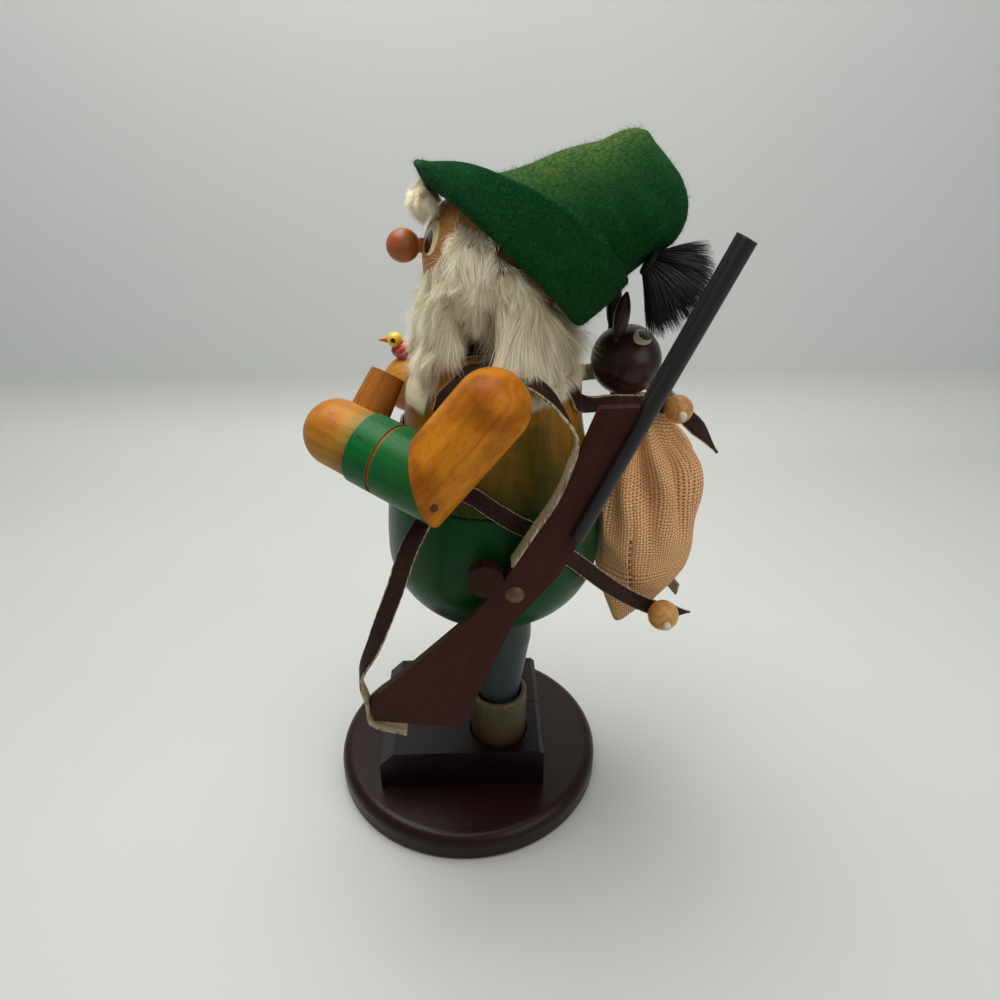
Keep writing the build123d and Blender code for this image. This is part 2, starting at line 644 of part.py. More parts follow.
def hat():
    """Felt hat in one piece: hollow crown with a pinched top, and the turned-up brim."""
    crown = crown_loft(0, len(CROWN_SECTIONS)) - crown_loft(FELT, LINING_SECTIONS)
    crease_height = CROWN_TOP + CREASE_RADIUS - CREASE_DEPTH
    crease_start = Vector(0, CROWN_TOP_FRONT - CREASE_RADIUS, crease_height)
    crease_end = Vector(0, CROWN_TOP_BACK, crease_height)
    crown -= HAT_PLANE.location * rod(crease_start, crease_end, CREASE_RADIUS)
    _, front, back = CROWN_SECTIONS[0]
    opening = Pos(0, (front + back) / 2) * Circle((back - front) / 2 - FELT)
    floor = extrude(HAT_PLANE * (brim_oval(0) - opening), BRIM_ARCH + 2 * FELT) & under_arch(FELT)
    wall = extrude(HAT_PLANE * (brim_oval(0) - brim_oval(FELT)), BRIM_HEIGHT) & brim_prism()
    return crown + floor + wall - under_arch(0)


def hat_envelope():
    """Filled hat, for cutting the fur that is tucked under it."""
    crown = crown_loft(-FUR_GAP, len(CROWN_SECTIONS))
    brim = extrude(HAT_PLANE.offset(-FUR_GAP) * brim_oval(-FUR_GAP), FUR_GAP + BRIM_HEIGHT) & brim_prism()
    return crown + brim - under_arch(-FUR_GAP)


def hat_brush():
    """Bristle brush: strands fanning from a round backing, spaced by the golden angle."""
    aim = BRUSH_AIM.normalized()
    middle = HAT_PLANE.from_local_coords(
        HEAD_RADIUS * Vector(BRUSH_SIDE_SHARE, BRUSH_BACK_SHARE, BRUSH_UP_SHARE))
    plane = Plane(origin=middle, x_dir=Vector(0, 0, 1).cross(aim), z_dir=aim)
    golden = pi * (3 - sqrt(5))
    backing = extrude(plane * Circle(BRUSH_BACKING_RADIUS), -BRUSH_BACKING)
    backing -= crown_loft(-GLUE_GAP, len(CROWN_SECTIONS))
    backing -= extrude(HAT_PLANE * (brim_oval(-GLUE_GAP) - brim_oval(FELT + GLUE_GAP)), BRIM_HEIGHT)
    backing = backing.solids().sort_by(Axis.Y)[-1]
    strands = []
    for index in range(BRUSH_STRANDS):
        share = sqrt((index + 0.5) / BRUSH_STRANDS)
        turn = index * golden
        spread = radians(BRUSH_SPREAD) * share
        reach = (BRUSH_BACKING_RADIUS - 3 * STRAND_RADIUS) * share
        side = plane.x_dir * cos(turn) + plane.y_dir * sin(turn)
        root = middle + side * reach - aim * BRUSH_SINK
        way = side * sin(spread) + aim * cos(spread)
        shorter = index * BRUSH_STRIDE % BRUSH_LENGTHS / (BRUSH_LENGTHS - 1)
        length = BRUSH_LENGTH * (1 - BRUSH_UNEVEN * shorter)
        strands.append(extrude(Plane(origin=root, z_dir=way) * RegularPolygon(STRAND_RADIUS, 3), length))
    return backing.fuse(*strands)


def fur_room():
    """Room under the fur on the chest and shoulders for a strap and its gaps."""
    return STRAP_THICKNESS + 2 * STRAP_GAP


def beard(keep_clear):
    """Whiskers round the face and a beard hanging on the chest, cut clear of what it lies on."""
    shell = HEAD_PLACE * Sphere(HEAD_RADIUS + WHISKER_DEPTH)
    front = Box(4 * HEAD_RADIUS, 4 * HEAD_RADIUS, 4 * HEAD_RADIUS,
                align=(Align.CENTER, Align.MAX, Align.MAX))
    shell &= Pos(0, HEAD_Y - WHISKER_FORWARD, HEAD_Z + WHISKER_RISE) * front
    face = Plane(origin=(0, HEAD_Y, HEAD_Z + FACE_RISE), x_dir=(1, 0, 0), z_dir=(0, -1, 0))
    shell -= extrude(face * Ellipse(FACE_HALF_WIDTH, FACE_HALF_HEIGHT), 2 * HEAD_RADIUS)
    chin = []
    for rise, forward, half_width, half_depth in BEARD_SECTIONS:
        chin.append(Pos(0, BODY_Y - forward, SHOULDER_Z + rise) * Ellipse(half_width, half_depth))
    fur = shell + loft(chin)
    front_view = Plane(origin=(0, BODY_Y, SHOULDER_Z), x_dir=(1, 0, 0), z_dir=(0, -1, 0))
    hem = BEARD_SECTIONS[-1][0] - FUR_GAP
    half = BEARD_PARTING_WIDTH
    parting = Polyline((-half, hem), (half, hem), (0, BEARD_PARTING_TOP), close=True)
    fur -= extrude(front_view * make_face(parting), 2 * WAIST_RADIUS)
    fur -= HEAD_PLACE * Sphere(HEAD_RADIUS + FUR_GAP)
    fur -= rod(Vector(0, BODY_Y, SHOULDER_Z), Vector(0, BODY_Y, HEAD_Z), NECK_RADIUS + FUR_GAP)
    fur -= torso_envelope(fur_room())
    for solid in keep_clear:
        fur -= solid
    return fur.solids().sort_by(SortBy.VOLUME)[-1]


def back_hair(keep_clear):
    """Hair behind and beside the head, from under the brim to the shoulders."""
    hem_z = SHOULDER_Z + HAIR_HEM_RISE
    top_z = HEAD_Z + HAIR_RISE
    outline = Polyline(
        (0, hem_z),
        (HEAD_RADIUS + HAIR_HEM_EXTRA, hem_z),
        (HEAD_RADIUS + HAIR_TOP_EXTRA, top_z),
        (0, top_z),
        close=True,
    )
    fur = Pos(0, HEAD_Y, 0) * turned(outline)
    behind = Box(4 * HEAD_RADIUS, 4 * HEAD_RADIUS, 4 * HEAD_RADIUS,
                 align=(Align.CENTER, Align.MIN, Align.CENTER))
    fur &= Pos(0, HEAD_Y - HAIR_FORWARD, HEAD_Z) * behind
    fur -= HEAD_PLACE * Sphere(HEAD_RADIUS + FUR_GAP)
    fur -= rod(Vector(0, BODY_Y, SHOULDER_Z), Vector(0, BODY_Y, HEAD_Z), NECK_RADIUS + FUR_GAP)
    fur -= torso_envelope(fur_room())
    for solid in keep_clear:
        fur -= solid
    return fur.solids().sort_by(SortBy.VOLUME)[-1]


def brow_tuft(keep_clear):
    """Tuft of fur on the brow, under the brim's peak."""
    tuft = scale(Sphere(1), by=(TUFT_HALF_WIDTH, TUFT_HALF_DEPTH, TUFT_HALF_HEIGHT))
    fur = Pos(0, HEAD_Y - TUFT_FORWARD, HEAD_Z + TUFT_RISE) * tuft
    fur -= HEAD_PLACE * Sphere(HEAD_RADIUS + FUR_GAP)
    for solid in keep_clear:
        fur -= solid
    return fur.solids().sort_by(SortBy.VOLUME)[-1]


# Rifle
LEAN = radians(RIFLE_LEAN)
RIFLE_PLANE = Plane(origin=from_waist(BELLY_RADIUS + RIFLE_OUT, RIFLE_BACK, -RIFLE_DROP),
                    x_dir=(0, sin(LEAN), cos(LEAN)), z_dir=(1, 0, 0))


def rifle_point(along, below, out=0.0):
    """Place of a point given along the barrel, below its axis and out from the middle plane."""
    return RIFLE_PLANE.from_local_coords(Vector(along, below, out))


def belly_below(along):
    """Depth of the stock's lower edge under the barrel's axis."""
    for (ahead, ahead_below), (behind, behind_below) in zip(BELLY_POINTS, BELLY_POINTS[1:]):
        if along >= behind:
            return ahead_below + (behind_below - ahead_below) * (ahead - along) / (ahead - behind)
    return BELLY_POINTS[-1][1]


def rifle_stock():
    """Flat stock cut from a board, with the barrels' bed and the guard's seat."""
    reach = BARREL_RADIUS + GLUE_GAP
    bed = sqrt(reach ** 2 - max(0, reach - STOCK_THICKNESS / 2) ** 2)
    outline = FilletPolyline(
        (STOCK_TIP, bed),
        *BELLY_POINTS,
        BUTT_TOE,
        BUTT_HEEL,
        COMB_POINT,
        WRIST_POINT,
        (BREECH_ALONG, WRIST_POINT[1]),
        (BREECH_ALONG, bed),
        radius=STOCK_ROUND,
        close=True,
    )
    board = extrude(RIFLE_PLANE * make_face(outline), STOCK_THICKNESS / 2, both=True)
    guard = RIFLE_PLANE * (Pos(GUARD_ALONG, guard_below()) * Circle(GUARD_RADIUS + GLUE_GAP))
    board -= extrude(guard, STOCK_THICKNESS, both=True)
    pin = RIFLE_PLANE * (Pos(PIN_ALONG, PIN_BELOW) * Circle(PIN_SHANK_RADIUS + GLUE_GAP))
    return board - extrude(pin, STOCK_THICKNESS, both=True)


def guard_below():
    """Depth of the guard disc's middle: it is let into the lower edge by its seat."""
    return belly_below(GUARD_ALONG) + GUARD_RADIUS - GUARD_SEAT


def trigger_guard():
    """Round disc let into the stock's lower edge."""
    disc = RIFLE_PLANE * (Pos(GUARD_ALONG, guard_below()) * Circle(GUARD_RADIUS))
    return extrude(disc, GUARD_THICKNESS / 2, both=True)


def lock_pin():
    """Round-headed pin through the lock, its head on the outer side."""
    half = STOCK_THICKNESS / 2
    dome = (PIN_HEAD_RADIUS ** 2 + PIN_HEAD_HEIGHT ** 2) / (2 * PIN_HEAD_HEIGHT)
    crest = half + PIN_HEAD_HEIGHT
    ball = Pos(0, 0, crest - dome) * Sphere(dome)
    pin = split(ball, Plane.XY.offset(half), keep=Keep.TOP)
    pin += rod(Vector(0, 0, -half), Vector(0, 0, half), PIN_SHANK_RADIUS)
    return Plane(origin=rifle_point(PIN_ALONG, PIN_BELOW), z_dir=(1, 0, 0)).location * pin


def barrel(side):
    """One of two barrels side by side, bored at the muzzle."""
    out = side * (BARREL_RADIUS + GLUE_GAP)
    start = rifle_point(BREECH_ALONG + STOCK_ROUND + GLUE_GAP, 0, out)
    muzzle = rifle_point(BREECH_ALONG + BARREL_LENGTH, 0, out)
    bore = rifle_point(BREECH_ALONG + BARREL_LENGTH - BARREL_BORE_DEPTH, 0, out)
    return rod(start, muzzle, BARREL_RADIUS) - rod(bore, muzzle, BARREL_BORE)


# Straps
def body_radius(height):
    """Radius of the turned body's outside at a height, above and below the waist."""
    if height >= WAIST_Z:
        return torso_radius(height)
    bulge = ((BELLY_RADIUS - WAIST_RADIUS) ** 2 + (WAIST_Z - BELLY_Z) ** 2) / (
        2 * (BELLY_RADIUS - WAIST_RADIUS))
    return BELLY_RADIUS - bulge + sqrt(bulge ** 2 - (height - BELLY_Z) ** 2)


def on_body(turn, height, layer):
    """Strap's middle on the body, turned from the front towards the left, and its outward direction."""
    angle = radians(turn)
    off = STRAP_GAP + STRAP_THICKNESS / 2 + layer * (STRAP_GAP + STRAP_THICKNESS)
    slope = body_radius(height + 0.5) - body_radius(height - 0.5)
    tilt = sqrt(1 + slope ** 2)
    radius = body_radius(height) + off / tilt
    centre = (radius * sin(angle), BODY_Y - radius * cos(angle), height - slope * off / tilt)
    return centre, (sin(angle), -cos(angle), -slope)


def round_body(base, places, layer=0):
    """Stations on the body through places of (turn, height over a base), close enough to follow its curve."""
    stations = []
    for (turn, height), (next_turn, next_height) in zip(places, places[1:]):
        turn_steps = round(abs(next_turn - turn) / STRAP_STEP)
        count = max(1, turn_steps, round(abs(next_height - height) / STRAP_RISE))
        for step in range(count):
            share = step / count
            stations.append(on_body(turn + (next_turn - turn) * share,
                                    base + height + (next_height - height) * share, layer))
    last_turn, last_height = places[-1]
    return stations + [on_body(last_turn, base + last_height, layer)]


def mirrored(stations):
    """Stations on the right side that match those on the left, in return order."""
    other = []
    for (x, y, z), (out_x, out_y, out_z) in reversed(stations):
        other.append(((-x, y, z), (-out_x, out_y, out_z)))
    return other


def free(stations):
    """Stations off the body, given as (place from the waist, outward direction)."""
    return [(tuple(from_waist(*place)), outward) for place, outward in stations]


def sack_strap_lower_route():
    """Round the chest, down past the lower body and round the sack's foot."""
    tail = free([((9.0, 66.0, -50.8), (0.89, 0.45, 0)), ((14.2, 56.0, -46.2), (0.9, 0.43, 0))])
    near = free([((17.6, 47.5, -40.4), (0.92, 0.4, 0)), ((22.8, 38.0, -31.5), (0.93, 0.36, 0))])
    near += round_body(WAIST_Z, [(128, -15.5), (106, -3.0), (80, 6.0), (50, 12.0), (0, 15.5)])
    end = free([((-10.5, 58.5, -45.5), (-0.7, 0.7, 0)), ((0.0, 63.6, -48.0), (-0.3, 0.95, 0))])
    return tail + near + mirrored(near[:-1]) + end


def sack_strap_upper_route():
    """Round the neck under the beard and back to the sack's neck."""
    tail = free([((12.0, 66.5, 10.5), (1, 0.3, 0.3)), ((6.5, 59.0, 18.5), (0.95, 0.3, 0.2))])
    near = free([
        ((7.6, 52.5, 23.4), (1, 0.2, 0.2)),
        ((10.6, 44.0, 26.0), (1, 0.3, 0.1)),
        ((12.8, 34.5, 27.4), (0.95, 0.3, 0)),
    ])
    near += round_body(SHOULDER_Z, [(150, 0.5), (140, 8.0), (125, 12.8), (100, 14.6), (70, 14.6), (0, 12.0)])
    end = free([((1.0, 55.0, 22.2), (-0.3, 0.95, 0))])
    return tail + near + mirrored(near[:-1]) + end


def sling_route():
    """From the guard up the stock, over the left shoulder, inside the arm and under the butt."""
    off = STRAP_GAP + STRAP_THICKNESS / 2
    to_stock = tuple(-RIFLE_PLANE.y_dir)
    toe_along, toe_below = BUTT_TOE
    belly_end, belly_depth = BELLY_POINTS[-1]

    def beside_stock(along, below, outward):
        return tuple(rifle_point(along, below)), outward

    def along_belly(along):
        return beside_stock(along, belly_below(along) + off, to_stock)

    shoulder = free([
        ((37.2, 20.6, 26.5), (-0.1, 0.95, 0.1)),
        ((32.6, 17.0, 33.0), (0.1, 0.75, 0.6)),
        ((28.0, 12.4, 37.4), (0.4, 0.35, 0.85)),
        ((23.4, 6.4, 39.6), (0.5, 0.1, 0.85)),
    ])
    chest = round_body(SHOULDER_Z, [(88, 11.4), (72, 10.5), (60, 5.0), (56, -4.0), (57, -18.0)], layer=1)
    hanging = free([
        ((31.0, -19.6, 2.0), (0.75, -0.6, 0.2)),
        ((36.9, -24.2, -4.5), (0.95, -0.1, 0.3)),
        ((39.0, -29.2, -18.0), (1, 0, 0)),
        ((39.6, -36.0, -36.0), (0.8, -0.55, 0.2)),
        ((39.6, -41.4, -51.0), (0.1, -0.95, 0.3)),
    ])
    return [
        along_belly(-14.0),
        along_belly(10.0),
        along_belly(18.0),
        *shoulder,
        *chest,
        *hanging,
        beside_stock(belly_end, belly_depth + off, (0, -1, 0)),
        beside_stock(toe_along - off, toe_below + off, (0, -0.6, -0.8)),
        beside_stock(toe_along - off, toe_below * SLING_END_SHARE, (0, -0.2, -1)),
    ]


# Sack, hare and beads
HARE = from_waist(0, HARE_BACK, HARE_RISE)
BEAD_LOWER = from_waist(*BEAD_LOWER_PLACE)
BEAD_UPPER = from_waist(*BEAD_UPPER_PLACE)


def sack():
    """Gathered sack, cut clear of the body that it hangs behind."""
    sections = []
    for rise, back, half_depth, half_width in SACK_SECTIONS:
        sections.append(Pos(from_waist(0, back, rise)) * Ellipse(half_width, half_depth))
    bag = loft(sections)
    room = Cylinder(BELLY_RADIUS + 2 * CLOSE_GAP, WAIST_Z, align=(Align.CENTER, Align.CENTER, Align.MIN))
    return bag - BODY * room - torso_envelope(2 * CLOSE_GAP)


def hare_head():
    """Ball head on a neck let into the sack's mouth, with holes for the ears."""
    ball = Pos(HARE) * Sphere(HARE_RADIUS)
    ball += rod(from_waist(0, HARE_BACK, SACK_SECTIONS[-1][0]), HARE, HARE_NECK_RADIUS)
    for side in (1, -1):
        root, tip = ear_line(side)
        ball -= rod(root, tip, EAR_PEG_RADIUS + GLUE_GAP)
    return ball


def ear_line(side):
    """Inner end of an ear's peg, and the ear's tip."""
    way = Vector(side * EAR_SPLAY, EAR_LEAN, 1).normalized()
    rise = sqrt(HARE_RADIUS ** 2 - EAR_SPREAD ** 2 - EAR_FORWARD ** 2)
    surface = HARE + Vector(side * EAR_SPREAD, -EAR_FORWARD, rise)
    return surface - way * EAR_PEG, surface + way * EAR_LENGTH


def hare_ear(side):
    """Turned ear on a peg, swelling and then pointed."""
    root, tip = ear_line(side)
    shank = EAR_PEG + EAR_SHANK
    top = EAR_PEG + EAR_LENGTH
    outline = [
        Polyline((0, 0), (EAR_PEG_RADIUS, 0), (EAR_PEG_RADIUS, shank)),
        ThreePointArc((EAR_PEG_RADIUS, shank), (EAR_RADIUS, (shank + top) / 2), (EAR_TIP_RADIUS, top)),
        Polyline((EAR_TIP_RADIUS, top), (0, top), (0, 0)),
    ]
    return Plane(origin=root, z_dir=tip - root).location * turned(*outline)


def bead(middle, radius):
    """Turned wooden bead with its bore along X."""
    half = sqrt(radius ** 2 - BEAD_BORE ** 2)
    outline = [
        Line((BEAD_BORE, half), (BEAD_BORE, -half)),
        ThreePointArc((BEAD_BORE, -half), (radius, 0), (BEAD_BORE, half)),
    ]
    return Plane(origin=middle, z_dir=(1, 0, 0)).location * turned(*outline)


def bead_thread(middle, radius):
    """Thread from the strap through the bead, with a knot that stops on the bore's edge."""
    seat = sqrt(radius ** 2 - BEAD_BORE ** 2) + sqrt(KNOT_RADIUS ** 2 - BEAD_BORE ** 2)
    knot = middle + Vector(seat + GLUE_GAP, 0, 0)
    return rod(middle - Vector(radius, 0, 0), knot, THREAD_RADIUS) + Pos(knot) * Sphere(KNOT_RADIUS)


def all_parts():
    """Every piece of the figure by its node's name."""
    parts = {"base_disc": base_disc(), "lower_body": lower_body(), "burner_plate": burner_plate()}
    for name, side in (("left", 1), ("right", -1)):
        parts[f"shoe_{name}"] = shoe(side)
        parts[f"boot_cuff_{name}"] = boot_cuff(side)
        parts[f"leg_{name}"] = leg(side)
    parts["torso"] = torso()
    arms = {
        "left": (SHOULDER_LEFT, ELBOW_LEFT, HAND_LEFT),
        "right": (SHOULDER_RIGHT, ELBOW_RIGHT, HAND_RIGHT),
    }
    for name, (shoulder, elbow, hand) in arms.items():
        upper, fore, seat = arm_pieces(shoulder, elbow, hand)
        parts[f"upper_arm_{name}"] = upper
        parts[f"forearm_{name}"] = fore
        parts[f"hand_{name}"] = domed_hand(hand, elbow, seat)
        parts[f"shoulder_dowel_{name}"] = dowel_room(shoulder, elbow, 0)
    parts["cup"] = cup()
    parts["hand_left"] -= cup(GLUE_GAP)
    parts["bird_body"], parts["bird_head"], parts["bird_beak"] = bird()
    parts["head"] = head()
    parts["nose"] = nose()
    parts["hat"] = hat()
    parts["hat_brush"] = hat_brush()
    loose = 2 * FUR_GAP
    strap_room = []
    for name, route, tip in (
        ("sling", sling_route(), STRAP_WIDTH),
        ("sack_strap_lower", sack_strap_lower_route(), STRAP_TIP_WIDTH),
        ("sack_strap_upper", sack_strap_upper_route(), STRAP_TIP_WIDTH),
    ):
        parts[name] = ribbon(route, STRAP_WIDTH, STRAP_THICKNESS, tip)
        strap_room.append(ribbon(route, STRAP_WIDTH + loose, STRAP_THICKNESS + loose, tip + loose))
    covered = hat_envelope()
    arm_room = []
    for shoulder, elbow, _ in arms.values():
        arm_room.append(rod(shoulder, elbow, ARM_RADIUS + FUR_GAP))
        arm_room.append(Pos(shoulder) * Sphere(ARM_RADIUS + FUR_GAP))
    hare_room = Pos(HARE) * Sphere(HARE_RADIUS + FUR_GAP)
    nose_room = rod(NOSE, Vector(0, HEAD_Y, NOSE.Z), NOSE_RADIUS + FUR_GAP)
    parts["beard"] = beard([covered, *strap_room, cup(CLOSE_GAP), nose_room])
    parts["back_hair"] = back_hair([covered, *strap_room, hare_room, *arm_room])
    parts["brow_tuft"] = brow_tuft([covered])
    parts["rifle_stock"] = rifle_stock()
    parts["trigger_guard"] = trigger_guard()
    parts["lock_pin"] = lock_pin()
    parts["barrel_left"] = barrel(1)
    parts["barrel_right"] = barrel(-1)
    parts["sack"] = sack()
    parts["hare_head"] = hare_head()
    parts["hare_ear_left"] = hare_ear(1)
    parts["hare_ear_right"] = hare_ear(-1)
    parts["bead_lower"] = bead(BEAD_LOWER, BEAD_LOWER_RADIUS)
    parts["bead_upper"] = bead(BEAD_UPPER, BEAD_UPPER_RADIUS)
    parts["bead_thread_lower"] = bead_thread(BEAD_LOWER, BEAD_LOWER_RADIUS)
    parts["bead_thread_upper"] = bead_thread(BEAD_UPPER, BEAD_UPPER_RADIUS)
    return parts


os.makedirs("parts", exist_ok=True)
for node, solid in all_parts().items():
    export_step(solid, f"parts/{node}.step")
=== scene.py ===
"""Looks of a turned wooden incense smoker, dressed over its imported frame.

Sizes are in millimetres and become metres where a mesh or a material is made.
The figure faces -Y, its left side is +X, Z is up, and the origin is under the base disc.
"""
import logging
import math
from dataclasses import dataclass, field, replace
from enum import Enum

import bmesh
import bpy
import numpy as np
from mathutils import Matrix, Vector


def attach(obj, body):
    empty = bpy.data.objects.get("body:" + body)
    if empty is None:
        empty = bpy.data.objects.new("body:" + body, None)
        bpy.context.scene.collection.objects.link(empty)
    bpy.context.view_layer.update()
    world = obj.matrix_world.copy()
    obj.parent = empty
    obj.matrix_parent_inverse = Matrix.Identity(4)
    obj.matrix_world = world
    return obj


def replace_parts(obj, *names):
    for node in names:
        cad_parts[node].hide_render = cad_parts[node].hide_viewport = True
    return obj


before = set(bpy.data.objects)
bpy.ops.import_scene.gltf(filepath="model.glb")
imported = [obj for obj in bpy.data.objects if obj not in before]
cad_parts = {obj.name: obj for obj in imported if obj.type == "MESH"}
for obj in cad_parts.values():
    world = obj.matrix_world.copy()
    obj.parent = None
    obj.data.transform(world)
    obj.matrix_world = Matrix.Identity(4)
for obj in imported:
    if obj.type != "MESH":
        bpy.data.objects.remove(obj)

Array = np.ndarray
Triple = tuple[float, float, float]
Pair = tuple[float, float]
Table = tuple[tuple[float, ...], ...]
Stops = tuple[tuple[float, Triple], ...]
Stations = tuple[Array, Array]
Socket, Material, Thing = bpy.types.NodeSocket, bpy.types.Material, bpy.types.Object
Rng = np.random.Generator

MM = 0.001
LOG = logging.getLogger("smoker")
SIDES = (("left", 1), ("right", -1))

BODY_Y = 10.0
BELLY_Z, BELLY_RADIUS, BELLY_DEPTH = 100.0, 34.3, 30.0
WAIST_Z, WAIST_RADIUS = 124.0, 32.0
SHOULDER_Z, CHEST_RADIUS, SHOULDER_HEIGHT = 152.0, 26.4, 17.0
HEAD_CENTRE, HEAD_RADIUS = np.array([0.0, 10.9, 189.5]), 20.3
HARE_CENTRE, HARE_RADIUS = np.array([0.0, 49.2, 159.7]), 10.4
BIRD_HEAD_CENTRE, BIRD_HEAD_RADIUS = np.array([-32.8, -21.6, 155.9]), 2.6
RIFLE_LEAN = math.radians(24.2)
RIFLE_WAY = (0.0, math.sin(RIFLE_LEAN), math.cos(RIFLE_LEAN))
DOWN = np.array([0.0, 0.0, -1.0])


class Half(Enum):
    """The two bodies of the frame."""

    LOWER = "lower_half"
    UPPER = "upper_half"


class Side(Enum):
    """Sides of a strap's cross-section, as material numbers."""

    FACE = 0
    EDGE = 1
    BACKING = 2


# ---------------------------------------------------------------- arrays

def unit(vectors: Array) -> Array:
    """Return the vectors scaled to length one along the last axis."""
    return vectors / np.maximum(np.linalg.norm(vectors, axis=-1, keepdims=True), 1e-9)


def full_turn(count: int) -> Array:
    """Return evenly spaced angles of a whole turn, without its end."""
    return np.linspace(0, 2 * np.pi, count, endpoint=False)


def lengths_along(points: Array) -> Array:
    """Return the length of a line of points from its start to each of them."""
    return np.concatenate([[0], np.cumsum(np.linalg.norm(np.diff(points, axis=0), axis=1))])


def smooth_between(wanted: Array, known: Array, values: Array) -> Array:
    """Cubic curve through known values, with the slopes of their neighbours.

    Args:
        wanted: Positions to read, of shape (m,).
        known: Rising positions of the values, of shape (n,).
        values: Values of shape (n, d).

    Returns:
        Values of shape (m, d).
    """
    slopes = np.gradient(values, known, axis=0)
    left = np.clip(np.searchsorted(known, wanted, side="right") - 1, 0, len(known) - 2)
    span = (known[left + 1] - known[left])[:, None]
    share = (wanted[:, None] - known[left][:, None]) / span
    rest = 1 - share
    ends = rest ** 2 * (1 + 2 * share) * values[left] + share ** 2 * (3 - 2 * share) * values[left + 1]
    return ends + span * share * rest * (rest * slopes[left] - share * slopes[left + 1])


def bell(off: Array, width: float) -> Array:
    """Return a bell curve: one where a number is nought, and 1 / e where it is a width away."""
    return np.exp(-(off / width) ** 2)


def rising(number: Array, start: float, end: float) -> Array:
    """Return where a number lies on the way from a start to an end, held between 0 and 1."""
    return np.clip((number - start) / (end - start), 0, 1)


def turned_from(turn: Array, middle: float | Array) -> Array:
    """Return the smallest signed angle from a middle turn, in radians."""
    return np.angle(np.exp(1j * (turn - middle)))


def look_up(wanted: Array, table: Table) -> Array:
    """Return values between the rows of a table of place and value."""
    known = np.array(table)
    return np.interp(wanted, known[:, 0], known[:, 1])


def ripple(places: Array, pitch: float, seed: int) -> Array:
    """Smooth pseudo-random vectors: sums of sines of the place over a pitch.

    Args:
        places: Points of shape (..., 3).
        pitch: Typical length of a swell.
        seed: Seed of the sines' directions and phases.

    Returns:
        Vectors of about unit size, of the same shape.
    """
    rng = np.random.default_rng(seed)
    waves = rng.normal(size=(3, 6, 3)) * 2.4 / pitch
    phases = rng.uniform(0, 2 * np.pi, size=(3, 6))
    angles = np.einsum("...d,kwd->...kw", places, waves) + phases
    return np.sin(angles).sum(axis=-1) / 2.4


def body_radius(height: Array) -> Array:
    """Radius of the turned body by height: an ellipse at the shoulders, an arc at the chest and one at the belly.

    Args:
        height: Heights over the floor.

    Returns:
        Radii of the same shape.
    """
    flare, swell = WAIST_RADIUS - CHEST_RADIUS, BELLY_RADIUS - WAIST_RADIUS
    tall, deep = SHOULDER_Z - WAIST_Z, WAIST_Z - BELLY_Z
    hollow = (flare ** 2 + tall ** 2) / (2 * flare)
    bulge = (swell ** 2 + deep ** 2) / (2 * swell)
    chest = CHEST_RADIUS + hollow - np.sqrt(hollow ** 2 - np.clip(SHOULDER_Z - height, 0, tall) ** 2)
    above = rising(height, SHOULDER_Z, SHOULDER_Z + SHOULDER_HEIGHT)
    belly = BELLY_RADIUS - bulge + np.sqrt(bulge ** 2 - np.clip(height - BELLY_Z, -BELLY_DEPTH, deep) ** 2)
    upper = np.where(height > SHOULDER_Z, CHEST_RADIUS * np.sqrt(1 - above ** 2), chest)
    return np.where(height >= WAIST_Z, upper, belly)


# ---------------------------------------------------------------- meshes

def link(thing: Thing) -> None:
    """Put a new object into the scene."""
    bpy.context.scene.collection.objects.link(thing)


def evaluated(thing: Thing) -> Thing:
    """Return an object as its modifiers leave it."""
    return thing.evaluated_get(bpy.context.evaluated_depsgraph_get())


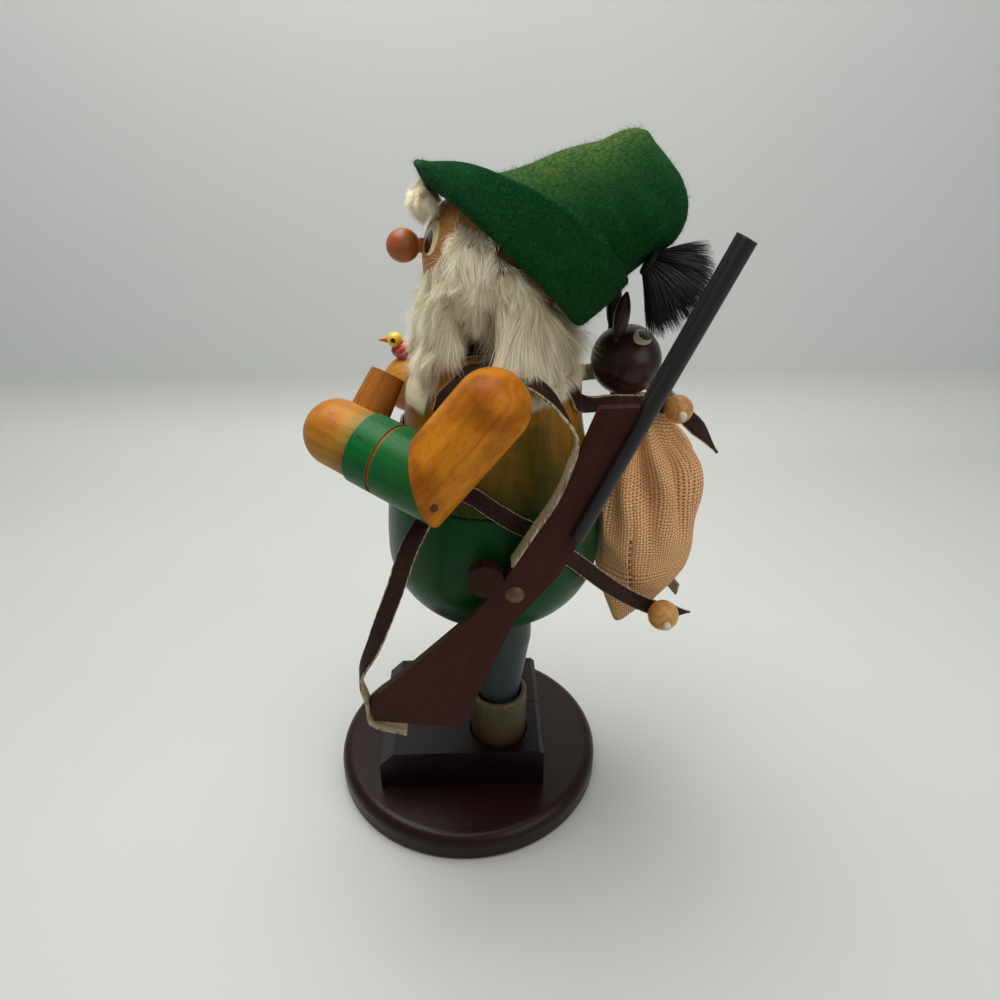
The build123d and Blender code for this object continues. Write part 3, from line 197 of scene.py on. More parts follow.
@dataclass
class Surface:
    """Points, faces and values of one new mesh, in millimetres."""

    points: Array
    faces: list[Array]
    uv: Array | None = None
    values: dict[str, Array] = field(default_factory=dict)
    slots: Array | None = None

    @classmethod
    def grid(cls, points: Array, closed: bool, caps: tuple[bool, bool] = (False, False),
             uv: Array | None = None) -> "Surface":
        """Grid of rows and columns.

        Args:
            points: Shape (rows, columns, 3).
            closed: Whether the last column joins the first.
            caps: Whether the first and last rows close on a middle point.
            uv: Shape (rows, columns + closed, 2), so that a seam has both of its ends.

        Returns:
            The surface, its quads first and then its caps.
        """
        rows, columns, _ = points.shape
        span = columns if closed else columns - 1
        row, column = np.arange(rows - 1)[:, None], np.arange(span)[None, :]
        after = (column + 1) % columns

        def quads(wide: int, beyond: Array) -> Array:
            """Return the corners of all quads in a table of a width, by row."""
            low, high = row * wide, (row + 1) * wide
            corners = np.broadcast_arrays(low + column, low + beyond, high + beyond, high + column)
            return np.stack(corners, -1).reshape(-1, 4)

        flat = points.reshape(-1, 3)
        faces = [quads(columns, after)]
        loops = None if uv is None else uv.reshape(-1, 2)[quads(uv.shape[1], column + 1).ravel()]
        for cap, start, order in ((caps[0], 0, (0, 2, 1)), (caps[1], (rows - 1) * columns, (0, 1, 2))):
            if cap:
                ring = start + np.arange(columns)
                middle = np.full(columns, len(flat))
                flat = np.vstack([flat, flat[ring].mean(axis=0)])
                fan = np.stack([middle, ring, np.roll(ring, -1)], -1)[:, list(order)]
                faces.append(fan)
                if loops is not None:
                    edge = uv[0 if start == 0 else -1]
                    fan_uv = np.stack([(edge[:-1] + edge[1:]) / 2, edge[:-1], edge[1:]], 1)[:, list(order)]
                    loops = np.vstack([loops, fan_uv.reshape(-1, 2)])
        return cls(flat, faces, loops)

    @classmethod
    def strips(cls, paths: Array, sides: Array, widths: Array, tone: Array) -> "Surface":
        """Flat tapering strips along many paths.

        Args:
            paths: Shape (strands, steps, 3).
            sides: Unit vectors across the strips, of the same shape.
            widths: Shape (strands, steps).
            tone: One number from 0 to 1 a strand.

        Returns:
            The surface, with the values along and tone on each point.
        """
        count, steps, _ = paths.shape
        half = sides * widths[..., None] / 2
        points = np.stack([paths - half, paths + half], axis=2).reshape(-1, 3)
        start = (np.arange(count)[:, None] * steps + np.arange(steps - 1)[None, :]).ravel() * 2
        quads = np.stack([start, start + 1, start + 3, start + 2], -1)
        along = np.tile(np.repeat(np.linspace(0, 1, steps), 2), count)
        return cls(points, [quads], values={"along": along, "tone": np.repeat(tone, steps * 2)})

    def to_mesh(self, name: str, materials: list[Material]) -> bpy.types.Mesh:
        """Make a smooth mesh of the points and faces, with the UV map, values and materials that there are.

        Args:
            name: Mesh's name.
            materials: Materials, by face slot.

        Returns:
            The new mesh, in metres.
        """
        mesh = bpy.data.meshes.new(name)
        loops = np.concatenate([part.ravel() for part in self.faces]).astype(np.int32)
        sizes = np.concatenate([np.full(len(part), part.shape[1]) for part in self.faces])
        starts = np.concatenate([[0], np.cumsum(sizes)[:-1]]).astype(np.int32)
        mesh.vertices.add(len(self.points))
        mesh.vertices.foreach_set("co", (self.points * MM).astype(np.float32).ravel())
        mesh.loops.add(len(loops))
        mesh.loops.foreach_set("vertex_index", loops)
        mesh.polygons.add(len(starts))
        mesh.polygons.foreach_set("loop_start", starts)
        mesh.polygons.foreach_set("use_smooth", np.ones(len(starts), dtype=bool))
        if self.slots is not None:
            mesh.polygons.foreach_set("material_index", self.slots.astype(np.int32))
        mesh.update(calc_edges=True)
        if self.uv is not None:
            mesh.uv_layers.new(name="UVMap").data.foreach_set("uv", self.uv.astype(np.float32).ravel())
        for key, numbers in self.values.items():
            mesh.attributes.new(key, "FLOAT", "POINT").data.foreach_set("value", numbers.astype(np.float32))
        for material in materials:
            mesh.materials.append(material)
        return mesh

    def to_object(self, name: str, materials: list[Material], slot: str, outward: bool = False,
                  half: Half = Half.UPPER) -> Thing:
        """Make the object, riding on a body.

        Args:
            name: Object's name.
            materials: Materials, by face slot.
            slot: Not used.
            outward: Whether to turn all faces of a closed surface outwards.
            half: Body that carries it.

        Returns:
            The new object, at the origin.
        """
        mesh = self.to_mesh(name, materials)
        if outward:
            turned = bmesh.new()
            turned.from_mesh(mesh)
            bmesh.ops.recalc_face_normals(turned, faces=turned.faces)
            turned.to_mesh(mesh)
            turned.free()
        thing = bpy.data.objects.new(name, mesh)
        link(thing)
        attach(thing, half.value)
        LOG.info("%s: %d faces", name, len(mesh.polygons))
        return thing


@dataclass
class Shape:
    """Triangles of a rounded copy of a CAD solid, in millimetres."""

    points: Array
    triangles: Array
    normals: Array

    @classmethod
    def of_node(cls, node: str, voxel: float, rounds: int) -> "Shape":
        """Remesh a copy of a node's solid.

        Args:
            node: Name of the CAD node.
            voxel: Size of the remesh.
            rounds: Rounds of smoothing.

        Returns:
            Its points, triangles and normals.
        """
        copy = bpy.data.objects.new(f"{node}_copy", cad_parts[node].data.copy())
        link(copy)
        remesh = copy.modifiers.new("remesh", "REMESH")
        remesh.mode, remesh.voxel_size = "VOXEL", voxel * MM
        smooth = copy.modifiers.new("smooth", "SMOOTH")
        smooth.iterations = rounds
        shape = cls.of_object(evaluated(copy))
        old = copy.data
        bpy.data.objects.remove(copy)
        bpy.data.meshes.remove(old)
        return shape

    @classmethod
    def of_object(cls, thing: Thing) -> "Shape":
        """Return the triangles of an evaluated object."""
        mesh = bpy.data.meshes.new_from_object(thing)
        mesh.calc_loop_triangles()
        points = np.empty(len(mesh.vertices) * 3, dtype=np.float32)
        normals = np.empty_like(points)
        triangles = np.empty(len(mesh.loop_triangles) * 3, dtype=np.int32)
        mesh.vertices.foreach_get("co", points)
        mesh.vertex_normals.foreach_get("vector", normals)
        mesh.loop_triangles.foreach_get("vertices", triangles)
        bpy.data.meshes.remove(mesh)
        return cls(points.reshape(-1, 3).astype(float) / MM, triangles.reshape(-1, 3),
                   normals.reshape(-1, 3).astype(float))

    def scatter(self, count: int, rng: Rng, weight: Array | None = None) -> Stations:
        """Random points spread evenly over the area.

        Args:
            count: Number of points.
            rng: Source of the random numbers.
            weight: A share from 0 to 1 a triangle, for leaving places bare.

        Returns:
            Points and outward normals, each of shape (count, 3).
        """
        corners = self.points[self.triangles]
        area = np.linalg.norm(self.crosses(), axis=-1)
        area = area if weight is None else area * weight
        pick = rng.choice(len(area), count, p=area / area.sum())
        first, second = rng.random((2, count))
        over = first + second > 1
        first, second = np.where(over, 1 - first, first), np.where(over, 1 - second, second)
        shares = np.stack([1 - first - second, first, second], -1)
        places = np.einsum("sk,skd->sd", shares, corners[pick])
        return places, unit(np.einsum("sk,skd->sd", shares, self.normals[self.triangles][pick]))

    def crosses(self) -> Array:
        """Return each triangle's normal, as long as twice its area."""
        first, second, third = self.points[self.triangles].transpose(1, 0, 2)
        return np.cross(second - first, third - first)

    def middles(self) -> Array:
        """Return the middle of each triangle."""
        return self.points[self.triangles].mean(axis=1)

    def surface(self, shrink: float) -> Surface:
        """Return the shape as a surface, drawn in along its normals."""
        return Surface(self.points - self.normals * shrink, [self.triangles])


# ---------------------------------------------------------------- finishes

def srgb(tone: Triple) -> tuple[float, float, float, float]:
    """Return a display colour of 0 to 255 as the linear colour that shaders take."""
    share = np.array(tone) / 255
    linear = np.where(share <= 0.04045, share / 12.92, ((share + 0.055) / 1.055) ** 2.4)
    return (*linear.tolist(), 1.0)


class Graph:
    """Node tree of one new material, with short ways to add and join nodes."""

    def __init__(self, name: str) -> None:
        """Start a material with its plain shader."""
        self.material = bpy.data.materials.new(name)
        self.material.use_nodes = True
        self.tree = self.material.node_tree
        self.shader = self.tree.nodes["Principled BSDF"]

    def feed(self, node: bpy.types.Node, inputs: dict) -> None:
        """Link sockets and set plain values on a node's inputs."""
        for key, value in inputs.items():
            if isinstance(value, Socket):
                self.tree.links.new(value, node.inputs[key])
            else:
                node.inputs[key].default_value = value

    def add(self, kind: str, inputs: dict, **settings: object) -> bpy.types.Node:
        """Add a node.

        Args:
            kind: Node type without its common start.
            inputs: Sockets or values, by input name or number.
            **settings: Properties of the node.

        Returns:
            The node.
        """
        node = self.tree.nodes.new(f"ShaderNode{kind}")
        for key, value in settings.items():
            setattr(node, key, value)
        self.feed(node, inputs)
        return node

    def math(self, operation: str, *values: object) -> Socket:
        """Return the result of one sum on numbers."""
        return self.add("Math", dict(enumerate(values)), operation=operation).outputs[0]

    def times(self, first: object, second: object) -> Socket:
        """Return the product of two numbers."""
        return self.math("MULTIPLY", first, second)

    def line(self, number: object, slope: float, start: float) -> Socket:
        """Return a number times a slope, plus a start."""
        return self.math("MULTIPLY_ADD", number, slope, start)

    def vector(self, operation: str, *values: object) -> Socket:
        """Return the vector result of one sum on vectors."""
        return self.add("VectorMath", dict(enumerate(values)), operation=operation).outputs[0]

    def scaled(self, vector: object, factor: object) -> Socket:
        """Return a vector or colour multiplied by a number."""
        plain = vector[:3] if isinstance(vector, tuple) else vector
        return self.add("VectorMath", {0: plain, "Scale": factor}, operation="SCALE").outputs[0]

    def mix(self, factor: object, first: object, second: object) -> Socket:
        """Return a blend of two colours."""
        return self.add("Mix", {0: factor, 6: first, 7: second}, data_type="RGBA").outputs[2]

    def noise(self, place: object, pitch: float, detail: float = 3.0) -> Socket:
        """Return noise with swells of a pitch in millimetres."""
        return self.add("TexNoise", {"Vector": place, "Scale": 1 / (pitch * MM), "Detail": detail}).outputs["Fac"]

    def place(self) -> Socket:
        """Return the object's own coordinates."""
        return self.add("TexCoord", {}).outputs["Object"]

    def across(self) -> tuple[Socket, Socket]:
        """Return the two coordinates of the UV map."""
        parts = self.add("SeparateXYZ", {0: self.add("TexCoord", {}).outputs["UV"]})
        return parts.outputs[0], parts.outputs[1]

    def value(self, name: str) -> Socket:
        """Return a number that the mesh carries on its points."""
        return self.add("Attribute", {}, attribute_name=name).outputs["Fac"]

    def between(self, number: object, low: float, high: float) -> Socket:
        """Return where a number lies from low to high, as 0 to 1 with soft ends."""
        node = self.add("MapRange", {0: number, 1: low, 2: high}, interpolation_type="SMOOTHSTEP")
        return node.outputs[0]

    def ramp(self, number: object, stops: Stops) -> Socket:
        """Return a colour by place along stops in millimetres."""
        low, high = stops[0][0], stops[-1][0]
        share = self.add("MapRange", {0: number, 1: low * MM, 2: high * MM}).outputs[0]
        node = self.add("ValToRGB", {0: share})
        places = node.color_ramp.elements
        places[0].color, places[1].color = srgb(stops[0][1]), srgb(stops[-1][1])
        for place, tone in stops[1:-1]:
            places.new((place - low) / (high - low)).color = srgb(tone)
        return node.outputs[0]

    def bump(self, height: object, depth: float) -> None:
        """Raise the surface by a height of 0 to 1 times a depth in millimetres."""
        node = self.add("Bump", {"Height": height, "Distance": depth * MM, "Strength": 1.0})
        self.feed(self.shader, {"Normal": node.outputs[0]})

    def done(self, colour: object, rough: object, **inputs: object) -> Material:
        """Set the shader's colour, roughness and other inputs, and return the material."""
        named = {key.replace("_", " ").title(): value for key, value in inputs.items()}
        named = {key.replace("Ior", "IOR"): value for key, value in named.items()}
        self.feed(self.shader, {"Base Color": colour, "Roughness": rough, **named})
        return self.material


@dataclass(frozen=True)
class Wood:
    """Turned or sawn wood: stain by place along the grain, over streaks and rings."""

    name: str
    stops: Stops
    axis: Triple = (0.0, 0.0, 1.0)
    origin: Triple = (0.0, 0.0, 0.0)
    contrast: float = 0.3
    pitch: float = 1.6
    rough: float = 0.35
    coat: float = 0.1
    pores: float = 0.35
    shine: float = 0.2
    blotch: Triple | None = None
    blotch_share: float = 0.6
    knot: Triple | None = None

    def build(self) -> Material:
        """Stretch noise along the grain, and multiply the stain by it."""
        graph = Graph(self.name)
        axis = tuple(unit(np.array(self.axis)).tolist())
        place = graph.vector("SUBTRACT", graph.place(), tuple(part * MM for part in self.origin))
        along = graph.add("VectorMath", {0: place, 1: axis}, operation="DOT_PRODUCT").outputs["Value"]
        drawn = graph.vector("ADD", place, graph.scaled(axis, graph.times(along, -0.94)))
        fibre = graph.noise(drawn, self.pitch, 5.0)
        swell = graph.noise(drawn, self.pitch * 7, 1.5)
        ring = graph.line(graph.math("SINE", graph.times(swell, 60.0)), 0.5, 0.5)
        dashes = graph.vector("ADD", place, graph.scaled(axis, graph.times(along, -0.88)))
        pore = graph.between(graph.noise(dashes, 0.34, 1.0), 0.6, 0.7)
        shade = graph.math("ADD", graph.times(fibre, 0.62), graph.times(ring, 0.38))
        light = graph.line(shade, 2 * self.contrast, 1 - self.contrast)
        light = graph.times(light, graph.line(pore, -self.pores, 1.0))
        cloud = graph.line(graph.noise(graph.place(), 18.0, 2.0), 0.36, 0.82)
        light = graph.times(light, cloud)
        stain = graph.ramp(along, self.stops) if len(self.stops) > 1 else srgb(self.stops[0][1])
        if self.blotch:
            spot = graph.between(graph.noise(graph.place(), 14.0, 3.0), 0.42, 0.68)
            stain = graph.mix(graph.times(spot, self.blotch_share), stain, srgb(self.blotch))
        if self.knot:
            centre = tuple(part * MM for part in self.knot)
            away = graph.add("VectorMath", {0: graph.place(), 1: centre}, operation="DISTANCE").outputs["Value"]
            rag = graph.line(graph.noise(graph.place(), 0.8), 0.0016, -0.0008)
            near = graph.between(graph.math("ADD", away, rag), 0.0009, 0.0016)
            light = graph.times(light, graph.line(near, 0.75, 0.25))
        graph.bump(graph.math("SUBTRACT", fibre, graph.times(pore, 0.6)), 0.05)
        rough = graph.line(fibre, 0.2, self.rough - 0.1)
        return graph.done(graph.scaled(stain, light), rough, coat_weight=self.coat, coat_roughness=0.28,
                          specular_ior_level=self.shine)


@dataclass(frozen=True)
class Paint:
    """Thin even paint or lacquer with a faint mottle."""

    name: str
    tone: Triple
    rough: float = 0.35
    coat: float = 0.0
    metallic: float = 0.0

    def build(self) -> Material:
        """Multiply the tone by a soft noise."""
        graph = Graph(self.name)
        place = graph.place()
        mottle = graph.line(graph.noise(place, 2.6), 0.4, 0.8)
        graph.bump(graph.noise(place, 0.5, 2.0), 0.02)
        rough = graph.line(graph.noise(place, 1.2), 0.3, self.rough - 0.15)
        return graph.done(graph.scaled(srgb(self.tone), mottle), rough, metallic=self.metallic,
                          coat_weight=self.coat, coat_roughness=0.15)


@dataclass(frozen=True)
class Felt:
    """Pressed wool: mottled green, with a yellow-green painted light laid on where the mesh's own value says."""

    name: str
    deep: Triple
    pale: Triple
    # tone of the painted light on the lit top of the crown
    painted_light: Triple

    def build(self) -> Material:
        """Mix two greens by noise, and lay the tone of the painted light over them by the mesh's value, broken up by
        noise.
        """
        graph = Graph(self.name)
        place = graph.place()
        fine, wide = graph.noise(place, 0.32, 6.0), graph.noise(place, 6.0, 3.0)
        green = graph.mix(graph.between(fine, 0.3, 0.7), srgb(self.deep), srgb(self.pale))
        patch = graph.between(graph.noise(place, 1.1, 8.0), 0.25, 0.8)
        # painted light: the lit top of the crown, in yellow-green, broken up by noise
        painted_light = graph.times(graph.times(graph.value("painted_light"), patch), 0.9)
        colour = graph.mix(painted_light, green, srgb(self.painted_light))
        colour = graph.scaled(colour, graph.line(wide, 0.5, 0.75))
        graph.bump(graph.math("ADD", fine, graph.noise(place, 0.22, 2.0)), 0.2)
        return graph.done(colour, 0.95, specular_ior_level=0.15)


@dataclass(frozen=True)
class Hair:
    """Strands that change from root to tip, each with its own tone."""

    name: str
    root: Triple
    tip: Triple
    spread: float = 0.4
    rough: float = 0.55

    def build(self) -> Material:
        """Blend root to tip along the strand and multiply by the strand's tone."""
        graph = Graph(self.name)
        along = graph.between(graph.value("along"), 0.0, 0.6)
        colour = graph.mix(along, srgb(self.root), srgb(self.tip))
        tone = graph.line(graph.value("tone"), self.spread, 1 - self.spread / 2)
        return graph.done(graph.scaled(colour, tone), self.rough)


@dataclass(frozen=True)
class Pelt:
    """Skin under fur: blotched and soft."""

    name: str
    deep: Triple
    pale: Triple

    def build(self) -> Material:
        """Mix two tones by noise drawn out downwards."""
        graph = Graph(self.name)
        place = graph.vector("MULTIPLY", graph.place(), (1.0, 1.0, 0.2))
        strand = graph.noise(place, 0.7, 4.0)
        graph.bump(strand, 0.5)
        return graph.done(graph.mix(graph.between(strand, 0.3, 0.7), srgb(self.deep), srgb(self.pale)), 0.9)


@dataclass(frozen=True)
class Leather:
    """Leathercloth: dark grain with rubbed spots."""

    name: str
    tone: Triple
    rubbed: Triple

    def build(self) -> Material:
        """Mix the tone towards the rubbed one by noise, with a fine pebbled bump."""
        graph = Graph(self.name)
        place = graph.place()
        rub = graph.between(graph.noise(place, 1.6, 5.0), 0.5, 0.8)
        pebble = graph.add("TexVoronoi", {"Vector": place, "Scale": 1 / (0.45 * MM)}).outputs["Distance"]
        graph.bump(pebble, 0.05)
        colour = graph.mix(graph.times(rub, 0.6), srgb(self.tone), srgb(self.rubbed))
        return graph.done(colour, graph.line(rub, 0.2, 0.6), specular_ior_level=0.2)


@dataclass(frozen=True)
class Weave:
    """Plain weave by the UV map in millimetres: two crossing sets of round threads."""

    name: str
    thread: Triple
    shade: Triple
    pitch: float
    gap: float
    depth: float

    def build(self) -> Material:
        """Take the higher of two half-sine thread profiles; gaps between both are dark."""
        graph = Graph(self.name)
        along, across = graph.across()
        place = graph.place()
        sway = graph.line(graph.noise(place, 6.0), 0.5, -0.25)
        turn = math.pi / self.pitch
        first = graph.math("SINE", graph.times(graph.math("ADD", along, sway), turn))
        second = graph.math("SINE", graph.times(graph.math("ADD", across, sway), turn))
        over = graph.line(graph.times(first, second), 0.22, 0.78)
        warp, weft = graph.math("ABSOLUTE", first), graph.math("ABSOLUTE", second)
        top = graph.math("MAXIMUM", warp, weft)
        height = graph.times(top, over)
        slub = graph.line(graph.noise(place, 1.1, 4.0), 0.5, 0.75)
        seen = graph.between(top, self.gap, self.gap + 0.3)
        colour = graph.scaled(graph.mix(seen, srgb(self.shade), srgb(self.thread)), slub)
        colour = graph.scaled(colour, graph.line(over, 0.5, 0.55))
        graph.bump(height, self.depth)
        return graph.done(colour, 0.85)


# ---------------------------------------------------------------- helpers for pieces

def dress(finish: "Wood | Paint", *nodes: str) -> None:
    """Give CAD nodes one finish.

    Args:
        finish: Finish whose material is made.
        *nodes: Names of the nodes.
    """
    material = finish.build()
    for node in nodes:
        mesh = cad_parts[node].data
        mesh.materials.clear()
        mesh.materials.append(material)
        LOG.info("%s dressed in %s", node, material.name)


def ball_point(centre: Array, radius: float, turn: Array, rise: Array) -> Array:
    """Points on a ball by turn from the front towards the left, and rise, both in radians."""
    flat = np.cos(rise)
    way = np.stack([flat * np.sin(turn), -flat * np.cos(turn), np.sin(rise)], -1)
    return centre + radius * way


def ball_patch(centre: Array, radius: float, turn: float, rise: float, half: Pair,
               lift: float, lean: float = 0.0) -> Surface:
    """Oval patch of paint on a ball: a polar grid of ellipses laid on the ball's surface.

    Args:
        centre: Ball's middle.
        radius: Ball's radius.
        turn: Patch's turn in degrees from the front towards the left.
        rise: Patch's rise in degrees.
        half: Half width and half height.
        lift: Height of the paint's middle over the ball; its edge goes down to the ball.
        lean: Turn of the oval in degrees.

    Returns:
        The patch.
    """
    share = np.linspace(0.02, 1, 9)[:, None]
    angle = full_turn(48)[None, :]
    wide, tall = half[0] * share * np.cos(angle), half[1] * share * np.sin(angle)
    tip = math.radians(lean)
    side = (wide * math.cos(tip) - tall * math.sin(tip)) / radius
    up = (wide * math.sin(tip) + tall * math.cos(tip)) / radius
    middle = math.radians(rise)
    turns = math.radians(turn) + side / math.cos(middle)
    height = lift * np.sqrt(np.clip(1.0 - share ** 4, 0, 1)) + 0.015
    points = ball_point(centre, 1.0, turns, middle + up) - centre
    return Surface.grid(centre + points * (radius + height)[..., None], True, (True, False))


def paint_pair(name: str, finish: Paint | Pelt, slot: str, centre: Array, radius: float, turn: float, rise: float,
               half: Pair, lift: float, lean: float = 0.0) -> None:
    """Lay the same oval patch on the left and on the right of a ball.

    Args:
        name: Start of the two objects' names.
        finish: Finish of both patches.
        slot: Name that is handed on to to_object.
        centre, radius, turn, rise, half, lift, lean: As for ball_patch, on the left side.
    """
    material = finish.build()
    for side_name, side in SIDES:
        patch = ball_patch(centre, radius, side * turn, rise, half, lift, side * lean)
        patch.to_object(f"{name}_{side_name}", [material], slot)


def strand_sides(paths: Array, normals: Array, rng: Rng, loose: float) -> Array:
    """Vectors across strands, so that their flat sides mostly face outwards.

    Args:
        paths: Shape (strands, steps, 3).
        normals: Outward direction at each root.
        rng: Source of the random numbers.
        loose: How far the flat sides turn at random.

    Returns:
        Unit vectors of the shape of the paths.
    """
    tangents = unit(np.gradient(paths, axis=1))
    facing = unit(normals + rng.normal(size=normals.shape) * loose)
    return unit(np.cross(tangents, facing[:, None, :]))


@dataclass(frozen=True)
class Coat:
    """How a coat of fur or fuzz grows."""

    count: int
    length: Pair
    lift: float
    droop: float
    wave: float
    wave_pitch: float
    clump: float = 0.05
    clump_size: int = 14
    width: float = 0.1
    steps: int = 4
    loose: float = 0.25
    inset: float = 0.3
    frizz: float = 0.12

    def grow(self, roots: Array, normals: Array, ways: Array, rng: Rng,
             scale: Array | None = None, curl: Array | None = None) -> Surface:
        """Walk each strand from its root along its way, sagging and waving, then draw clumps together.

        Args:
            roots: Shape (strands, 3).
            normals: Outward directions at the roots.
            ways: Direction in which the coat is combed.
            rng: Source of the random numbers.
            scale: Share of the length for each strand.
            curl: Share of the wave for each strand.

        Returns:
            Strips with the values along and tone.
        """
        combed = unit(ways - normals * np.sum(ways * normals, axis=-1, keepdims=True))
        heading = unit(combed * (1 - self.lift) + normals * self.lift)
        heading = unit(heading + rng.normal(size=roots.shape) * self.frizz)
        length = rng.uniform(*self.length, size=len(roots)) * (1.0 if scale is None else scale)
        waves = np.full((len(roots), 1), self.wave) if curl is None else self.wave * curl[:, None]
        place, path = roots - normals * self.inset, []
        for _ in range(self.steps):
            path.append(place)
            swing = ripple(place, self.wave_pitch, 11) * waves
            heading = unit(heading + DOWN * self.droop + swing)
            place = place + heading * (length / self.steps)[:, None]
        paths = np.stack(path + [place], axis=1)
        share = np.linspace(0, 1, self.steps + 1)
        if self.clump:
            guides = rng.choice(len(roots), max(1, len(roots) // self.clump_size), replace=False)
            gaps = ((roots[:, None, :] - roots[guides][None, :, :]) ** 2).sum(axis=-1)
            led = paths[guides[np.argmin(gaps, axis=1)]]
            paths = paths + (led - paths) * (self.clump * share ** 1.4)[None, :, None]
        widths = self.width * (1 - 0.8 * share ** 1.5)[None, :] * rng.uniform(0.7, 1.3, size=(len(roots), 1))
        return Surface.strips(paths, strand_sides(paths, normals, rng, self.loose), widths, rng.random(len(roots)))


# ---------------------------------------------------------------- sub-assemblies

@dataclass(frozen=True)
class Lamp:
    """A square lamp and the place that it points at."""

    name: str
    place: Triple
    aim: Triple
    size: float
    power: float
    tint: Triple = (1.0, 0.98, 0.95)

    def build(self) -> None:
        """Make the lamp and turn it to its aim."""
        data = bpy.data.lights.new(self.name, "AREA")
        data.shape, data.size, data.energy, data.color = "SQUARE", self.size * MM, self.power, self.tint
        lamp = bpy.data.objects.new(self.name, data)
        turn = (Vector(self.aim) - Vector(self.place)).normalized().to_track_quat("-Z", "Y")
        lamp.matrix_world = Matrix.Translation(Vector(self.place) * MM) @ turn.to_matrix().to_4x4()
        link(lamp)


@dataclass
class Stage:
    """Camera, light and a pale sweep behind the figure."""

    eye: Triple = (224.5, 4.15, 239.6)
    right: Triple = (0.035, 0.999, 0.0)
    up: Triple = (-0.491, 0.017, 0.871)
    lens: float = 28.8
    sensor: float = 36.0
    wall_x: float = -300.0
    sweep: float = 45.0
    reach: float = 1400.0
    floor_tone: Triple = (205, 208, 204)
    wall_tone: Triple = (206, 209, 207)
    sky_tint: Triple = (0.93, 0.96, 1.0)
    sky_power: float = 0.26
    overhead: Lamp = Lamp("overhead", (-90, -60, 610), (-10, 0, 60), 460, 3.5)
    front: Lamp = Lamp("front", (300, 360, 400), (0, 20, 120), 420, 0.85)

    def build(self) -> None:
        """Make the camera first, then the sweep and the lamps."""
        self.camera()
        self.backdrop()
        self.lamps()

    def camera(self) -> None:
        """Stand the camera where the photograph was taken from."""
        right = Vector(self.right).normalized()
        up = Vector(self.up)
        up = (up - right * up.dot(right)).normalized()
        turn = Matrix((right, up, right.cross(up))).transposed().to_4x4()
        data = bpy.data.cameras.new("camera")
        data.sensor_width, data.lens, data.clip_start = self.sensor, self.lens, 0.01
        camera = bpy.data.objects.new("camera", data)
        camera.matrix_world = Matrix.Translation(Vector(self.eye) * MM) @ turn
        link(camera)
        bpy.context.scene.camera = camera

    def backdrop(self) -> None:
        """Floor and wall as one profile, straight, a quarter round and straight, drawn along Y."""
        turn = np.linspace(0, np.pi / 2, 17)
        round_x = self.wall_x + self.sweep - self.sweep * np.sin(turn)
        round_z = self.sweep - self.sweep * np.cos(turn)
        profile_x = np.concatenate([[self.reach * 0.5], round_x, [self.wall_x]])
        profile_z = np.concatenate([[0.0], round_z, [self.reach]])
        width = np.linspace(-self.reach, self.reach, 9)
        points = np.stack(np.broadcast_arrays(profile_x[:, None], width[None, :], profile_z[:, None]), -1)
        graph = Graph("backdrop_paper")
        fleck = graph.line(graph.noise(graph.place(), 120.0, 3.0), 0.06, 0.97)
        height = graph.add("SeparateXYZ", {0: graph.place()}).outputs[2]
        tone = graph.mix(graph.between(height, 0.0, 0.07), srgb(self.floor_tone), srgb(self.wall_tone))
        paper = graph.done(graph.scaled(tone, fleck), 0.6)
        surface = Surface.grid(points[:, ::-1], False)
        sweep = bpy.data.objects.new("backdrop", surface.to_mesh("backdrop", [paper]))
        link(sweep)

    def lamps(self) -> None:
        """A wide lamp overhead, a weaker one at the camera's right, and even sky light."""
        world = bpy.data.worlds.new("studio")
        world.use_nodes = True
        sky = world.node_tree.nodes["Background"].inputs
        sky["Color"].default_value, sky["Strength"].default_value = (*self.sky_tint, 1.0), self.sky_power
        bpy.context.scene.world = world
        self.overhead.build()
        self.front.build()
        bpy.context.scene.view_settings.view_transform = "Standard"


@dataclass
class Stand:
    """Base disc, shoes, cuffs and legs."""

    mahogany: Wood = Wood("mahogany", ((0, (33, 13, 9)),), (0, 1, 0), contrast=0.28, rough=0.34, coat=0.08)
    shoe: Wood = replace(mahogany, name="shoe_mahogany", stops=((0, (19, 9, 8)),), contrast=0.25, coat=0.06, shine=0.18)
    cuff: Wood = Wood("cuff_stain", ((22.8, (36, 16, 12)), (27, (52, 32, 16)), (32, (62, 48, 22)),
                                     (43.4, (68, 58, 30)), (44.5, (98, 86, 56))),
                      contrast=0.25, rough=0.4, coat=0.15, shine=0.3)
    leg: Wood = Wood("leg_stain", ((0, (34, 48, 42)),), contrast=0.2, rough=0.42, shine=0.3)

    def build(self) -> None:
        """Dress the turned and sawn pieces."""
        dress(self.mahogany, "base_disc")
        dress(self.shoe, "shoe_left", "shoe_right")
        dress(self.cuff, "boot_cuff_left", "boot_cuff_right")
        dress(self.leg, "leg_left", "leg_right")


@dataclass
class SmokeBody:
    """Lower body, torso and the plate in the smoke chamber."""

    green: Wood = Wood("green_lacquer", ((0, (8, 66, 30)),), contrast=0.08, rough=0.32, coat=0.05, pores=0.1,
                       shine=0.13)
    torso: Wood = Wood("torso_stain", ((124, (40, 58, 20)), (133, (96, 78, 16)), (146, (148, 102, 20)),
                                       (166, (188, 132, 32))), contrast=0.28, rough=0.4, coat=0.05, shine=0.14,
                       blotch=(60, 70, 14))
    plate: Paint = Paint("plate_metal", (190, 176, 140), 0.38, metallic=1.0)

    def build(self) -> None:
        """Dress the three pieces."""
        dress(self.green, "lower_body")
        dress(self.torso, "torso")
        dress(self.plate, "burner_plate")


